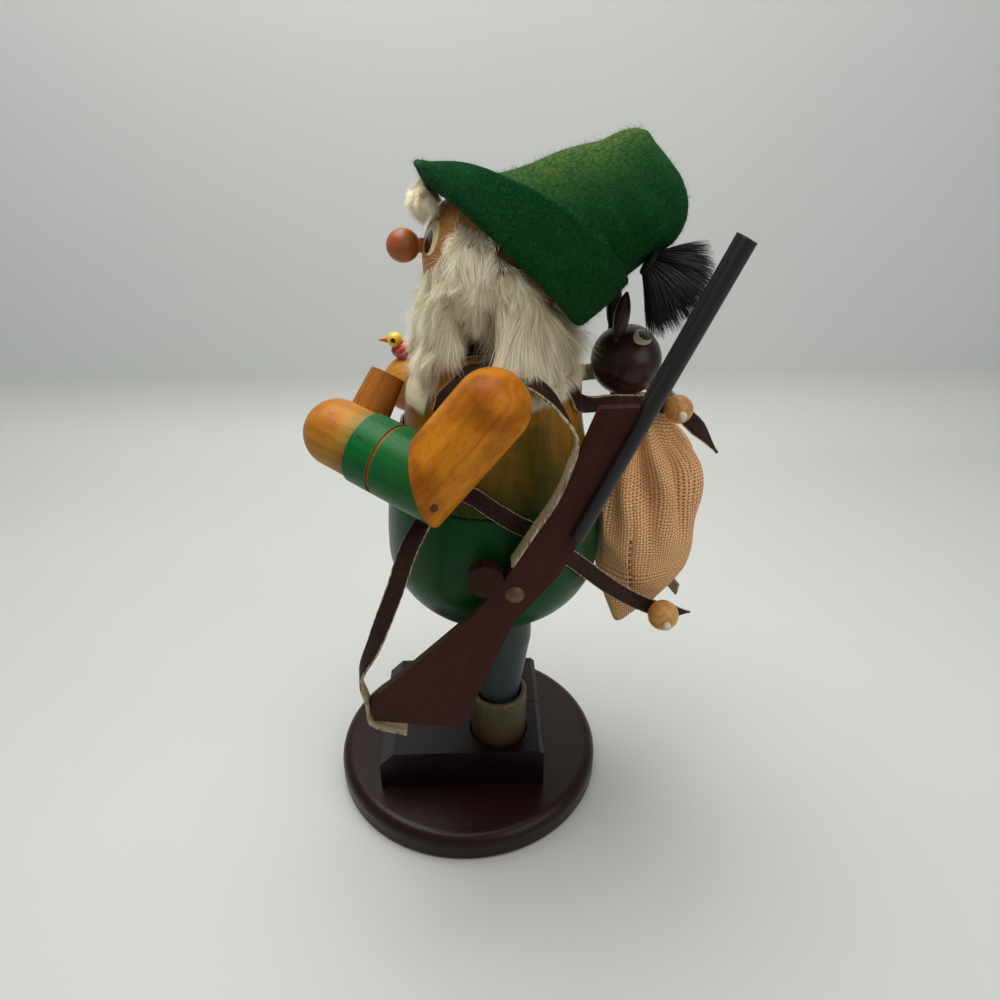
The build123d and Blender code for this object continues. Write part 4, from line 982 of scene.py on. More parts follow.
@dataclass
class Arms:
    """Arms, hands, the cup and the bird."""

    shoulder_left: Triple = (34.5, 8.7, 159.6)
    elbow_left: Triple = (37.0, -8.3, 140.1)
    hand_left: Triple = (20.9, -33.5, 146.8)
    shoulder_right: Triple = (-34.5, 8.7, 159.6)
    elbow_right: Triple = (-43.3, 10.9, 134.1)
    hand_right: Triple = (-32.8, -17.0, 140.6)
    knot_left: Triple = (46.9, -6.5, 137.2)
    cup_axis: Triple = (-0.43, 0.44, 0.79)
    sleeve_short: float = 9.9
    groove_back: float = 8.1

    def build(self) -> None:
        """Dress both arms along their own grain, then the small things in the hands."""
        for name, shoulder, elbow, hand, knot in (
            ("left", self.shoulder_left, self.elbow_left, self.hand_left, self.knot_left),
            ("right", self.shoulder_right, self.elbow_right, self.hand_right, None),
        ):
            upper = np.array(elbow) - np.array(shoulder)
            fore = np.array(hand) - np.array(elbow)
            honey = Wood(f"honey_{name}", ((0, (200, 124, 24)),), tuple(upper), shoulder, contrast=0.24, rough=0.44,
                         coat=0.03, pores=0.3, shine=0.14, blotch=(142, 70, 6), blotch_share=0.8, knot=knot)
            dress(honey, f"upper_arm_{name}", f"shoulder_dowel_{name}")
            dress(self.sleeve(name, fore, elbow), f"forearm_{name}")
            stops = ((-self.sleeve_short - 6, (92, 112, 46)), (-self.sleeve_short, (128, 116, 50)),
                     (-self.sleeve_short + 6, (188, 128, 42)), (10, (196, 132, 46)))
            bare = replace(honey, name=f"hand_wood_{name}", stops=stops, axis=tuple(fore), origin=hand, contrast=0.26,
                           coat=0.06, blotch=(158, 86, 20), blotch_share=0.6, knot=None)
            dress(bare, f"hand_{name}")
        cup = Wood("cup_wood", ((0, (156, 94, 26)),), self.cup_axis, self.hand_left, contrast=0.26, rough=0.5,
                   coat=0.0)
        dress(cup, "cup")
        dress(Paint("bird_red", (176, 38, 30), 0.3, 0.4), "bird_body")
        dress(Paint("bird_yellow", (240, 190, 40), 0.3, 0.4), "bird_head")
        dress(Paint("beak_orange", (196, 92, 50), 0.35, 0.3), "bird_beak")
        paint_pair("bird_eye", Paint("bird_eye_black", (16, 14, 14), 0.25, 0.5), "bird_yellow", BIRD_HEAD_CENTRE,
                   BIRD_HEAD_RADIUS, 80, 10, (0.85, 0.85), 0.08)

    def sleeve(self, name: str, fore: Array, elbow: Triple) -> Wood:
        """Green stain over the forearm, with a bare groove, thin at the elbow.

        Args:
            name: Side.
            fore: Way from elbow to hand.
            elbow: Elbow's place.

        Returns:
            The finish.
        """
        end = float(np.linalg.norm(fore)) - self.sleeve_short
        groove = end - self.groove_back
        green, thin, cut = (12, 96, 42), (28, 92, 38), (150, 96, 40)
        stops = ((-16.0, thin), (4.0, thin), (10.0, green), (groove - 0.6, green), (groove - 0.5, cut),
                 (groove + 0.5, cut), (groove + 0.6, green), (end + 3, green))
        return Wood(f"sleeve_{name}", stops, tuple(fore), elbow, contrast=0.18, rough=0.4, coat=0.04, pores=0.45,
                    shine=0.15)


@dataclass
class Head:
    """Head, nose and painted eyes."""

    skin: Wood = Wood("skin_wood", ((0, (178, 120, 62)),), contrast=0.22, rough=0.42, coat=0.15)
    nose: Wood = Wood("nose_wood", ((0, (150, 84, 40)), (25, (164, 94, 46)), (30.3, (168, 76, 44))), (0, -1, 0),
                      (0, BODY_Y, 193), contrast=0.24, rough=0.36, coat=0.25)
    eye_turn: float = 24.0
    eye_rise: float = 20.5
    eye_half: Pair = (4.0, 4.7)
    pupil_turn: float = 22.0
    pupil_rise: float = 17.0
    pupil_half: Pair = (2.5, 3.1)

    def build(self) -> None:
        """Dress the wood and lay the paint of both eyes on it."""
        dress(self.skin, "head")
        dress(self.nose, "nose")
        paint_pair("eye_white", Paint("eye_cream", (236, 214, 160), 0.35, 0.3), "skin_wood", HEAD_CENTRE, HEAD_RADIUS,
                   self.eye_turn, self.eye_rise, self.eye_half, 0.1)
        paint_pair("eye_pupil", Paint("eye_black", (22, 18, 16), 0.25, 0.5), "skin_wood", HEAD_CENTRE,
                   HEAD_RADIUS + 0.1, self.pupil_turn, self.pupil_rise, self.pupil_half, 0.08)


@dataclass
class Hat:
    """Felt hat with a pinched crown, a turned-up brim and a brush behind."""

    origin: Triple = (0.0, 13.3, 189.0)
    tilt: float = 44.6
    roll: float = 4.0
    felt: float = 1.6
    crown: Table = (
        (0.0, -24.8, 23.5), (8.0, -22.0, 26.0), (16.0, -16.0, 26.5), (30.0, -9.0, 28.2), (36.0, -5.6, 29.8),
        (40.0, -3.1, 29.0), (43.0, -1.9, 27.4), (45.5, -0.3, 24.8), (47.2, 1.6, 21.4), (48.2, 3.8, 17.0))
    brim_lowered: Table = (
        (-34.5, 4.4), (-31.0, 2.2), (-25.0, 1.6), (-20.0, 1.4), (-15.0, 1.5), (-8.0, 0.95), (-3.0, 0.3), (4.0, 0.0))
    crown_foot: float = 4.0
    cap_rise: float = 0.6
    peak: float = 2.3
    peak_back: float = 1.5
    peak_half: float = 4.5
    peak_heights: Pair = (41.0, 46.0)
    crease_depth: float = 1.7
    crease_width: float = 4.4
    crease_heights: Pair = (30.0, 46.0)
    dent: float = 0.1
    dent_back: float = 10.0
    dent_half: float = 12.0
    dent_heights: Pair = (22.0, 38.0)
    # spread of the painted light on the crown's lit top: width of the turn, and the heights where it grows
    painted_light_half: float = 0.85
    painted_light_heights: Pair = (10.0, 24.0)
    brim_half_width: float = 27.3
    brim_front: float = -33.9
    brim_back: float = 28.2
    brim_height: float = 22.4
    brim_crest: float = 14.0
    brim_half_length: float = 47.9
    brim_dip: float = 6.0
    brim_bulge: float = 0.012
    brim_flare: float = 0.01
    brim_least: float = 1.0
    arch: float = 3.6
    arch_half: float = 35.2
    tip: float = 1.4
    tip_back: float = -35.0
    tip_half: float = 3.5
    fold: float = 1.6
    foot_least: float = 1.4
    brush_root: Triple = (11.0, 27.9, 27.2)
    brush_aim: Triple = (0.1, 0.86, -0.51)
    brush_length: Pair = (11.0, 19.0)
    brush_spread: float = 48.0
    brush_count: int = 8000
    brush_waist: float = 3.6
    columns: int = 224
    cap_rows: int = 9
    crown_rows: int = 46
    fold_rows: int = 13
    wall_rows: int = 17

    def frame_axes(self) -> Array:
        """Return the hat's side, back and up directions as rows."""
        lean, roll = math.radians(self.tilt), math.radians(-self.roll)
        side = np.array([1.0, 0.0, 0.0])
        up = np.array([0.0, math.sin(lean), math.cos(lean)])
        back = np.cross(up, side)
        turn = np.array([[math.cos(roll), 0, math.sin(roll)], [0, 1, 0], [-math.sin(roll), 0, math.cos(roll)]])
        return np.stack([side, back, up]) @ turn.T

    def to_world(self, local: Array) -> Array:
        """Return points given from the hat's origin by side, back and up."""
        return np.array(self.origin) + local @ self.frame_axes()

    def crown_grid(self, angle: Array) -> Array:
        """Crown from its top down: a circle at each height between its front and back edges, under a low cap.

        A bell raises the peak, a bell across lowers the groove along the top, and a bell along draws the sides in.

        Args:
            angle: Turns of the columns, of shape (1, columns).

        Returns:
            Points by side, back and up, of shape (rows, columns, 3).
        """
        half = self.felt / 2
        table = np.array(self.crown)
        heights = np.linspace(table[-1, 0], self.crown_foot, self.crown_rows)
        edges = smooth_between(heights, table[:, 0], table[:, 1:])
        middle, radius = edges.mean(axis=1)[:, None], ((edges[:, 1] - edges[:, 0]) / 2 - half)[:, None]
        side, back = radius * np.cos(angle), middle + radius * np.sin(angle)
        up = np.broadcast_to(heights[:, None] - half, side.shape)
        shrink = np.linspace(0.04, 0.94, self.cap_rows)[:, None]
        side = np.vstack([side[:1] * shrink, side])
        back = np.vstack([middle[:1] + (back[:1] - middle[:1]) * shrink, back])
        up = np.vstack([up[:1] + self.cap_rise * (1 - shrink ** 2), up])
        fade = rising(up, *self.crease_heights) ** 1.5
        up = up + self.peak * bell(back - self.peak_back, self.peak_half) * rising(up, *self.peak_heights)
        up = up - self.crease_depth * fade * bell(side, self.crease_width)
        dent = bell(back - self.dent_back, self.dent_half) * rising(up, *self.dent_heights)
        return np.stack([side * (1 - self.dent * dent), back, up], -1)

    def brim_grid(self, angle: Array, foot: Array) -> Array:
        """Fold and brim, from the crown's foot outwards and up.

        The fold is a half ellipse between crown and brim, on an arch that rises at the sides and dips at the tip. The
        brim is an oval wall whose edge is an ellipse in side view, lowered by a table and by a slope across.

        Args:
            angle: Turns of the columns, of shape (1, columns).
            foot: Crown's last row, of shape (columns, 3); where it lies too low over the arch it is raised.

        Returns:
            Points by side, back and up, of shape (rows, columns, 3).
        """
        half = self.felt / 2
        middle = (self.brim_front + self.brim_back) / 2
        side = (self.brim_half_width - half) * np.cos(angle)
        back = middle + ((self.brim_back - self.brim_front) / 2 - half) * np.sin(angle)
        floor = self.arch * np.clip(1 - (back / self.arch_half) ** 2, 0, 1) + half
        floor = floor - self.tip * bell(back - self.tip_back, self.tip_half)
        base = floor + self.fold
        foot[:, 2] = np.maximum(foot[:, 2], floor[0] + self.foot_least)
        turn = np.linspace(0, np.pi, self.fold_rows + 2)[1:-1][:, None]
        share = (1 - np.cos(turn)) / 2
        fold_up = base - self.fold * np.sin(turn) + (foot[:, 2] - base) * np.clip(1 - 2 * share, 0, 1)
        fold = np.stack([foot[:, 0] * (1 - share) + side * share, foot[:, 1] * (1 - share) + back * share, fold_up], -1)
        reach = np.clip(1 - ((back - self.brim_crest) / self.brim_half_length) ** 2, 0, 1)
        dip = (self.brim_half_width - side) * math.tan(math.radians(self.brim_dip))
        edge = self.brim_height * np.sqrt(reach) - dip - look_up(back, self.brim_lowered)
        climb = np.linspace(0, 1, self.wall_rows + 1)[1:][:, None]
        wall_up = base + (np.maximum(edge, floor + self.brim_least) - base) * climb
        flare = 1 + self.brim_bulge * np.sin(climb * np.pi) + self.brim_flare * climb
        wall = np.stack([side * flare, middle + (back - middle) * flare, wall_up], -1)
        return np.concatenate([fold, wall])

    def sheet(self) -> Surface:
        """One felt sheet: crown from its top down, a round fold, and the brim up again.

        Rows run along the sheet and columns round the hat's axis. A slow ripple makes it uneven. The value that carries
        the painted light, a lit yellow-green on the crown's top, is a bell of the turn round the crown's front, and
        grows with the height.
        """
        angle = full_turn(self.columns)[None, :]
        crown = self.crown_grid(angle)
        world = self.to_world(np.concatenate([crown, self.brim_grid(angle, crown[-1])]))
        surface = Surface.grid(world + ripple(world, 9.0, 3) * 0.12, True, (True, False))
        # mask of the painted light: the lit top of the crown's front, growing with height
        front = bell(turned_from(angle, -np.pi / 2), self.painted_light_half) * rising(crown[..., 2], *self.painted_light_heights)
        painted_light = np.zeros(len(surface.points))
        painted_light[:front.size] = front.ravel()
        surface.values["painted_light"] = painted_light
        return surface

    def build(self) -> None:
        """Make the felt, its fuzz and the brush."""
        # the third colour is the painted light on the crown's lit top
        felt = Felt("hat_felt", (2, 38, 13), (13, 82, 34), (100, 118, 48)).build()
        sheet = self.sheet().to_object("hat_felt", [felt], "felt")
        thick = sheet.modifiers.new("thick", "SOLIDIFY")
        thick.thickness, thick.offset = self.felt * MM, 0.0
        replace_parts(sheet, "hat")
        rng = np.random.default_rng(5)
        shape = Shape.of_object(evaluated(sheet))
        fuzz = Coat(26000, (0.8, 2.6), lift=0.22, droop=0.0, wave=0.6, wave_pitch=1.6, clump=0.0, width=0.05, steps=3,
                    loose=1.0)
        roots, normals = shape.scatter(fuzz.count, rng)
        ways = rng.normal(size=roots.shape)
        green = Hair("felt_fuzz", (10, 66, 30), (44, 108, 56), 0.8, 0.9).build()
        fuzz.grow(roots + normals * 0.25, normals, ways, rng).to_object("hat_fuzz", [green], "felt")
        self.brush(rng)

    def brush(self, rng: Rng) -> None:
        """Black strands that fan out from one root, over a short round backing."""
        root = self.to_world(np.array(self.brush_root))
        aim = unit(np.array(self.brush_aim))
        cone = np.sqrt(rng.random(self.brush_count)) * math.radians(self.brush_spread)
        spin = rng.uniform(0, 2 * np.pi, self.brush_count)
        first = unit(np.cross(aim, np.array([1.0, 0.0, 0.0])))
        second = np.cross(aim, first)
        out = first * np.cos(spin)[:, None] + second * np.sin(spin)[:, None]
        ways = aim * np.cos(cone)[:, None] + out * np.sin(cone)[:, None]
        length = rng.uniform(*self.brush_length, self.brush_count) * (1 - 0.25 * (cone / cone.max()) ** 2)
        share = np.linspace(0, 1, 8)
        starts = root + out * (cone / cone.max() * self.brush_waist)[:, None] - aim
        sag = DOWN * (share ** 2)[None, :, None] * (length * 0.14)[:, None, None]
        curl = ripple(starts, 3.0, 8)[:, None, :] * (share ** 2)[None, :, None] * 1.1
        paths = starts[:, None, :] + ways[:, None, :] * (length[:, None] * share)[..., None] + sag + curl
        widths = 0.24 * (1 - 0.75 * share)[None, :] * rng.uniform(0.7, 1.2, size=(self.brush_count, 1))
        strands = Surface.strips(paths, strand_sides(paths, out, rng, 0.8), widths, rng.random(self.brush_count))
        black = Hair("bristle_black", (2, 2, 3), (9, 9, 10), 0.6, 0.6).build()
        brush = strands.to_object("hat_brush_strands", [black], "bristle")
        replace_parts(brush, "hat_brush")
        angle = full_turn(32)
        deep, wide = np.array([-2.0, 0.4, 2.0, 3.2]), np.array([3.4, 4.0, 3.4, 1.6])
        rings = (root + aim * deep[:, None, None] + wide[:, None, None] * (
            first * np.cos(angle)[None, :, None] + second * np.sin(angle)[None, :, None]))
        knot = Pelt("brush_backing", (12, 12, 12), (30, 28, 27)).build()
        Surface.grid(rings, True, (True, True)).to_object("hat_brush_backing", [knot], "bristle", True)


@dataclass
class Fur:
    """Beard, back hair, the tuft under the brim, and the fur at the temples."""

    cream: Hair = Hair("fur_cream", (238, 222, 184), (255, 247, 220), 0.36)
    pelt: Pelt = Pelt("fur_pelt", (206, 192, 158), (236, 226, 198))
    hide: Pelt = Pelt("fur_hide", (64, 40, 24), (110, 74, 44))
    beard: Coat = Coat(21000, (10.0, 18.0), lift=0.13, droop=0.08, wave=0.16, wave_pitch=5.0, inset=1.6)
    hair: Coat = replace(beard, wave=0.14, inset=2.0)
    temple: Coat = Coat(12000, (4.0, 9.0), lift=0.3, droop=0.1, wave=0.35, wave_pitch=3.0, clump=0.04, clump_size=12,
                        loose=0.3, inset=0.2, frizz=0.2)
    tuft: Coat = Coat(12000, (3.5, 7.0), lift=0.34, droop=0.12, wave=0.3, wave_pitch=3.5, loose=0.3, inset=0.8,
                      frizz=0.18)
    beard_drawn: Table = ((150.0, 0.69), (157.0, 0.69), (166.0, 0.8), (182.0, 0.79), (190.0, 1.0))
    beard_top: float = 190.0
    beard_short: float = 0.76
    beard_scale: Table = ((143, 0.42), (152, 0.62), (166, 0.9), (186, 0.8), (203, 0.4))
    beard_cheek: Pair = (176.0, 194.0)
    hair_drawn: Table = ((150.0, 0.86), (172.0, 0.86), (184.0, 0.95), (192.0, 1.0))
    hair_scale: Table = ((156, 0.25), (164, 0.5), (178, 1.0), (186, 0.6), (192, 0.25))
    torso_gap: float = 0.3
    torso_least: float = 12.0
    tuck_depth: float = 12.0
    tuck_slope: float = 0.9
    tuft_drawn: Triple = (0.85, 0.62, 0.74)
    tuft_moved: Triple = (0.0, -0.9, 1.6)
    under_brim: float = 0.9
    temple_turns: Pair = (10.0, 112.0)
    temple_rises: Pair = (-38.0, 37.0)
    temple_front: Table = (
        (-38.0, 8.0), (-18.0, 12.0), (-5.0, 21.0), (4.0, 37.0), (12.4, 46.0), (26.7, 53.0), (37.8, 58.0))
    temple_top: Table = ((10.0, 0.0), (50.0, 37.0), (82.0, 30.0), (93.0, 12.0), (112.0, 0.0))
    face_half: Pair = (20.6, 15.2)
    face_rise: float = 8.0
    thick: int = 3

    def build(self) -> None:
        """Grow the three pieces of fur, each in layers, over their skins, and the fur at the temples."""
        skin, cream = self.pelt.build(), self.cream.build()
        for node, coat, layers, seed in (
            ("beard", self.beard, self.thick, 21), ("back_hair", self.hair, self.thick, 31),
            ("brow_tuft", self.tuft, 1, 41),
        ):
            shape = Shape.of_node(node, 0.9, 8)
            middle = shape.points.mean(axis=0)
            under = shape.surface(coat.inset + 0.3)
            under.points = self.tucked(node, self.drawn_in(node, under.points, middle))
            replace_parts(under.to_object(f"{node}_pelt", [skin], "fur"), node)
            outer = self.shown(node, shape)
            for layer in range(layers):
                rng = np.random.default_rng(seed + layer)
                roots, normals = shape.scatter(coat.count, rng, outer)
                ways, scale, curl = self.combed(node, roots, normals)
                fur = coat.grow(roots, normals, ways, rng, scale, curl)
                fur.points = self.drawn_in(node, fur.points, middle)
                fur.to_object(f"{node}_fur_{layer}", [cream], "fur")
        paint_pair("fur_hide", self.hide, "fur", HEAD_CENTRE, HEAD_RADIUS + 0.25, 99, 9, (7.5, 7.0), 0.2)
        for name, side in SIDES:
            self.temples(side).to_object(f"temple_fur_{name}", [cream], "fur")

    def temples(self, side: int) -> Surface:
        """Fur on the head's side: roots by turn and rise on the ball, kept behind the face and under the brim.

        Args:
            side: 1 for the left and -1 for the right.

        Returns:
            The strands.
        """
        rng, count = np.random.default_rng(60 + side), self.temple.count
        turn, rise = rng.uniform(*self.temple_turns, 3 * count), rng.uniform(*self.temple_rises, 3 * count)
        kept = (turn > look_up(rise, self.temple_front)) & (rise < look_up(turn, self.temple_top))
        turn, rise = np.radians(side * turn[kept][:count]), np.radians(rise[kept][:count])
        roots = ball_point(HEAD_CENTRE, HEAD_RADIUS + 0.3, turn, rise)
        return self.temple.grow(roots, unit(roots - HEAD_CENTRE), np.tile([0.0, 0.1, -1.0], (len(roots), 1)), rng)

    def tucked(self, node: str, points: Array) -> Array:
        """Sink the skin's upper rim into the head: its distance from the head's middle is held below a slope.

        Args:
            node: Name of the fur's node.
            points: Points of its skin.

        Returns:
            The points moved.
        """
        if node == "brow_tuft":
            return points
        off, below = points - HEAD_CENTRE, self.beard_top - points[:, 2:]
        gone = np.linalg.norm(off, axis=1, keepdims=True)
        limit = HEAD_RADIUS - 1 + self.tuck_slope * np.clip(below, 0, self.tuck_depth)
        return np.where(below < self.tuck_depth, HEAD_CENTRE + off * np.minimum(1, limit / gone), points)

    def drawn_in(self, node: str, points: Array, middle: Array) -> Array:
        """Draw fur in towards the head: its depth shrinks by height and it is pushed off the torso.

        The beard is also shortened below its top. The tuft shrinks about its middle and is kept under the brim.

        Args:
            node: Name of the fur's node.
            points: Points of its skin or strands.
            middle: Middle of the node.

        Returns:
            The points moved.
        """
        if node == "brow_tuft":
            hat = Hat()
            up = hat.frame_axes()[2]
            moved = middle + np.array(self.tuft_moved) + (points - middle) * np.array(self.tuft_drawn)
            over = np.clip((moved - np.array(hat.origin)) @ up + self.under_brim, 0, None)
            return moved - over[:, None] * up
        front = node == "beard"
        x, y, z = points.T
        if front:
            z = np.maximum(z, self.beard_top + (z - self.beard_top) * self.beard_short)
        share = look_up(z, self.beard_drawn if front else self.hair_drawn)
        y = np.where((y < BODY_Y) == front, BODY_Y + (y - BODY_Y) * share, y)
        gone = np.maximum(np.hypot(x, y - BODY_Y), 1e-6)
        push = np.where(gone > self.torso_least, np.maximum(1, (body_radius(z) + self.torso_gap) / gone), 1)
        return np.stack([x * push, BODY_Y + (y - BODY_Y) * push, z], -1)

    def shown(self, node: str, shape: Shape) -> Array:
        """Weight of each triangle: sides that lie against the head or the chest get little fur, and the face none.

        Args:
            node: Name of the fur's node.
            shape: The node's rounded shape.

        Returns:
            A share from 0 to 1 a triangle.
        """
        middles, facing = shape.middles(), unit(shape.crosses())
        inward = HEAD_CENTRE - np.array([0, 0, 12.0]) - middles
        hidden = np.sum(unit(inward) * facing, axis=-1) > (0.5 if node != "brow_tuft" else 0.9)
        across, up = middles[:, 0], middles[:, 2] - HEAD_CENTRE[2] - self.face_rise
        face = (across / self.face_half[0]) ** 2 + (up / self.face_half[1]) ** 2 < 1
        bare = face & (middles[:, 1] < HEAD_CENTRE[1]) & (node == "beard")
        return np.where(bare, 0.0, np.where(hidden, 0.03, 1.0))

    def combed(self, node: str, roots: Array, normals: Array) -> tuple[Array, Array, Array]:
        """Direction of the fur at each root, and its shares of the length and of the wave.

        Args:
            node: Name of the fur's node.
            roots: Root points.
            normals: Outward directions.

        Returns:
            Directions, shares of the length and shares of the wave.
        """
        side = np.sign(roots[:, :1])
        curl = np.ones(len(roots))
        if node == "beard":
            top = rising(roots[:, 2:], *self.beard_cheek)
            ways = DOWN + np.hstack([side * 0.15 * top, -0.2 - 0.5 * top, np.zeros_like(top)])
            scale = look_up(roots[:, 2], self.beard_scale)
            curl = 1 + 1.6 * top[:, 0]
        elif node == "back_hair":
            fan = np.clip((roots[:, 1:2] - BODY_Y - 8) * 0.03, -0.5, 0.3)
            ways = DOWN + np.hstack([side * 0.18, fan, np.zeros_like(side)])
            scale = look_up(roots[:, 2], self.hair_scale)
        else:
            ways = normals * 0.4 + np.array([0.0, -0.4, -0.8])
            scale = np.ones(len(roots))
        return ways, scale, curl


@dataclass
class Straps:
    """Sling and the two straps of the sack: leathercloth with a woven back."""

    width: float = 5.2
    tip_width: float = 0.7
    tip_length: float = 9.0
    thickness: float = 0.9
    gap: float = 0.3
    step: float = 0.9
    rifle_origin: Triple = (39.6, 31.0, 123.0)
    belly: Table = (
        (37.0, 11.6), (10.0, 9.4), (-19.5, 12.1), (-34.5, 15.4), (-77.0, 31.6))
    toe: Pair = (-83.5, 27.6)

    def free(self, rows: Table) -> Stations:
        """Stations off the body: rows of place from the waist's middle, then outward direction."""
        table = np.array(rows)
        return table[:, :3] + np.array([0.0, BODY_Y, WAIST_Z]), table[:, 3:]

    def wrap(self, base: float, places: Table, layer: int = 0) -> Stations:
        """Stations on the turned body, through places of turn in degrees and height over a base."""
        table = np.array(places)
        steps = np.arange(len(table), dtype=float)
        fine = np.linspace(0, steps[-1], 1 + 6 * (len(table) - 1))
        turn = np.radians(np.interp(fine, steps, table[:, 0]))
        height = base + np.interp(fine, steps, table[:, 1])
        off = self.gap + self.thickness / 2 + layer * (self.gap + self.thickness)
        slope = body_radius(height + 0.5) - body_radius(height - 0.5)
        tilt = np.sqrt(1 + slope ** 2)
        radius = body_radius(height) + off / tilt
        centres = np.stack([radius * np.sin(turn), BODY_Y - radius * np.cos(turn), height - slope * off / tilt], -1)
        return centres, np.stack([np.sin(turn), -np.cos(turn), -slope], -1)

    def mirrored(self, stations: Stations) -> Stations:
        """Return the stations on the other side, in return order."""
        flip = np.array([-1.0, 1.0, 1.0])
        return stations[0][::-1] * flip, stations[1][::-1] * flip

    def joined(self, *parts: Stations) -> Stations:
        """Return runs of stations as one."""
        return np.vstack([part[0] for part in parts]), np.vstack([part[1] for part in parts])

    def beside_stock(self, rows: Table) -> Stations:
        """Stations in the rifle's plane: rows of along, below its axis, then outward direction."""
        table = np.array(rows)
        below = np.array([0.0, -RIFLE_WAY[2], RIFLE_WAY[1]])
        places = np.array(self.rifle_origin) + table[:, :1] * np.array(RIFLE_WAY) + table[:, 1:2] * below
        return places, table[:, 2:]

    def around(self, tail: Table, free: Table, base: float, places: Table, end: Table) -> Stations:
        """A strap's tail, its left half off and on the body, the same half mirrored, and its end.

        Args:
            tail: Free rows of the tail.
            free: Free rows from the sack to the body.
            base: Height that the places on the body count from.
            places: Turns and heights on the body, to the middle of the front.
            end: Free rows of the end.

        Returns:
            Stations of the whole strap.
        """
        near = self.joined(self.free(free), self.wrap(base, places))
        return self.joined(self.free(tail), near, self.mirrored((near[0][:-1], near[1][:-1])), self.free(end))

    def lower_route(self) -> Stations:
        """Round the chest, down past the lower body and round the sack's foot."""
        return self.around(
            ((9.0, 66.0, -50.8, 0.89, 0.45, 0), (14.2, 56.0, -46.2, 0.9, 0.43, 0)),
            ((17.6, 47.5, -40.4, 0.92, 0.4, 0), (22.8, 38.0, -31.5, 0.93, 0.36, 0)),
            WAIST_Z, ((128, -15.5), (106, -3.0), (80, 6.0), (50, 12.0), (0, 15.5)),
            ((-10.5, 58.5, -45.5, -0.7, 0.7, 0), (0.0, 63.6, -48.0, -0.3, 0.95, 0)))

    def upper_route(self) -> Stations:
        """Round the neck under the beard and back to the sack's neck."""
        return self.around(
            ((12.0, 66.5, 10.5, 1, 0.3, 0.3), (6.5, 59.0, 18.5, 0.95, 0.3, 0.2)),
            ((7.6, 52.5, 23.4, 1, 0.2, 0.2), (10.6, 44.0, 26.0, 1, 0.3, 0.1), (12.8, 34.5, 27.4, 0.95, 0.3, 0)),
            SHOULDER_Z, ((150, 0.5), (140, 8.0), (125, 12.8), (100, 14.6), (70, 14.6), (0, 12.0)),
            ((1.0, 55.0, 22.2, -0.3, 0.95, 0),))

    def sling_route(self) -> Stations:
        """From the guard up the stock, over the left shoulder, inside the arm and under the butt."""
        off = self.gap + self.thickness / 2
        to_stock = (0.0, RIFLE_WAY[2], -RIFLE_WAY[1])
        along = np.array([-14.0, -2.0, 10.0, 18.0])
        depth = look_up(along, self.belly[::-1]) + off
        stock = self.beside_stock(tuple((a, b, *to_stock) for a, b in zip(along, depth)))
        shoulder = self.free(((37.2, 20.6, 26.5, -0.1, 0.95, 0.1), (32.6, 17.0, 33.0, 0.1, 0.75, 0.6),
                              (28.0, 12.4, 37.4, 0.4, 0.35, 0.85), (23.4, 6.4, 39.6, 0.5, 0.1, 0.85)))
        chest = self.wrap(SHOULDER_Z, ((88, 11.4), (72, 10.5), (60, 5.0), (56, -4.0), (57, -18.0)), 1)
        hanging = self.free(((31.0, -19.6, 2.0, 0.75, -0.6, 0.2), (36.9, -24.2, -4.5, 0.95, -0.1, 0.3),
                             (39.0, -29.2, -18.0, 1, 0, 0), (39.6, -36.0, -36.0, 0.8, -0.55, 0.2),
                             (39.6, -41.4, -51.0, 0.1, -0.95, 0.3)))
        toe_along, toe_below = self.toe
        butt = self.beside_stock(((self.belly[-1][0], self.belly[-1][1] + off, 0, -1, 0),
                                  (toe_along - off, toe_below + off, 0, -0.6, -0.8),
                                  (toe_along - off, toe_below * 0.6, 0, -0.2, -1)))
        return self.joined(stock, shoulder, chest, hanging, butt)

    def band(self, stations: Stations, pointed: bool) -> Surface:
        """A flat band: a rounded rectangle drawn along a smooth curve through the stations.

        Args:
            stations: Centres and outward directions.
            pointed: Whether its first end is cut to a point.

        Returns:
            The surface, with UVs in millimetres and a material number on each face.
        """
        places, outward = stations
        chords = lengths_along(places)
        along = np.linspace(0, chords[-1], int(chords[-1] / self.step))
        curve = smooth_between(along, chords, np.hstack([places, unit(outward)]))
        centre, out = curve[:, :3], curve[:, 3:]
        ahead = unit(np.gradient(centre, axis=0))
        side = unit(np.cross(ahead, out))
        rise = np.cross(side, ahead)
        profile = np.array([(-0.9, 1), (-0.45, 1), (0, 1), (0.45, 1), (0.9, 1), (1, 0.5), (1, -0.5), (0.9, -1),
                            (0.45, -1), (0, -1), (-0.45, -1), (-0.9, -1), (-1, -0.5), (-1, 0.5)])
        half = np.full(len(along), self.width / 2)
        if pointed:
            half = self.width / 2 * np.clip(along / self.tip_length, self.tip_width / self.width, 1)
        frayed = 1 + 0.02 * ripple(centre * 2.5, 2.0, 31)[:, :1]
        reach = half[:, None] * profile[None, :, 0] * frayed
        points = (centre[:, None, :] + side[:, None, :] * reach[..., None]
                  + rise[:, None, :] * (profile[None, :, 1] * self.thickness / 2)[..., None])
        across = np.append(profile[:, 0], profile[0, 0]) * self.width / 2
        uv = np.stack(np.broadcast_arrays(along[:, None], across[None, :]), -1)
        surface = Surface.grid(points, True, (True, True), uv)
        kinds = np.array([Side.FACE] * 4 + [Side.EDGE] * 3 + [Side.BACKING] * 4 + [Side.EDGE] * 3)
        numbers = np.array([kind.value for kind in kinds])
        caps = np.full(2 * len(profile), Side.EDGE.value)
        surface.slots = np.concatenate([np.tile(numbers, len(along) - 1), caps])
        return surface

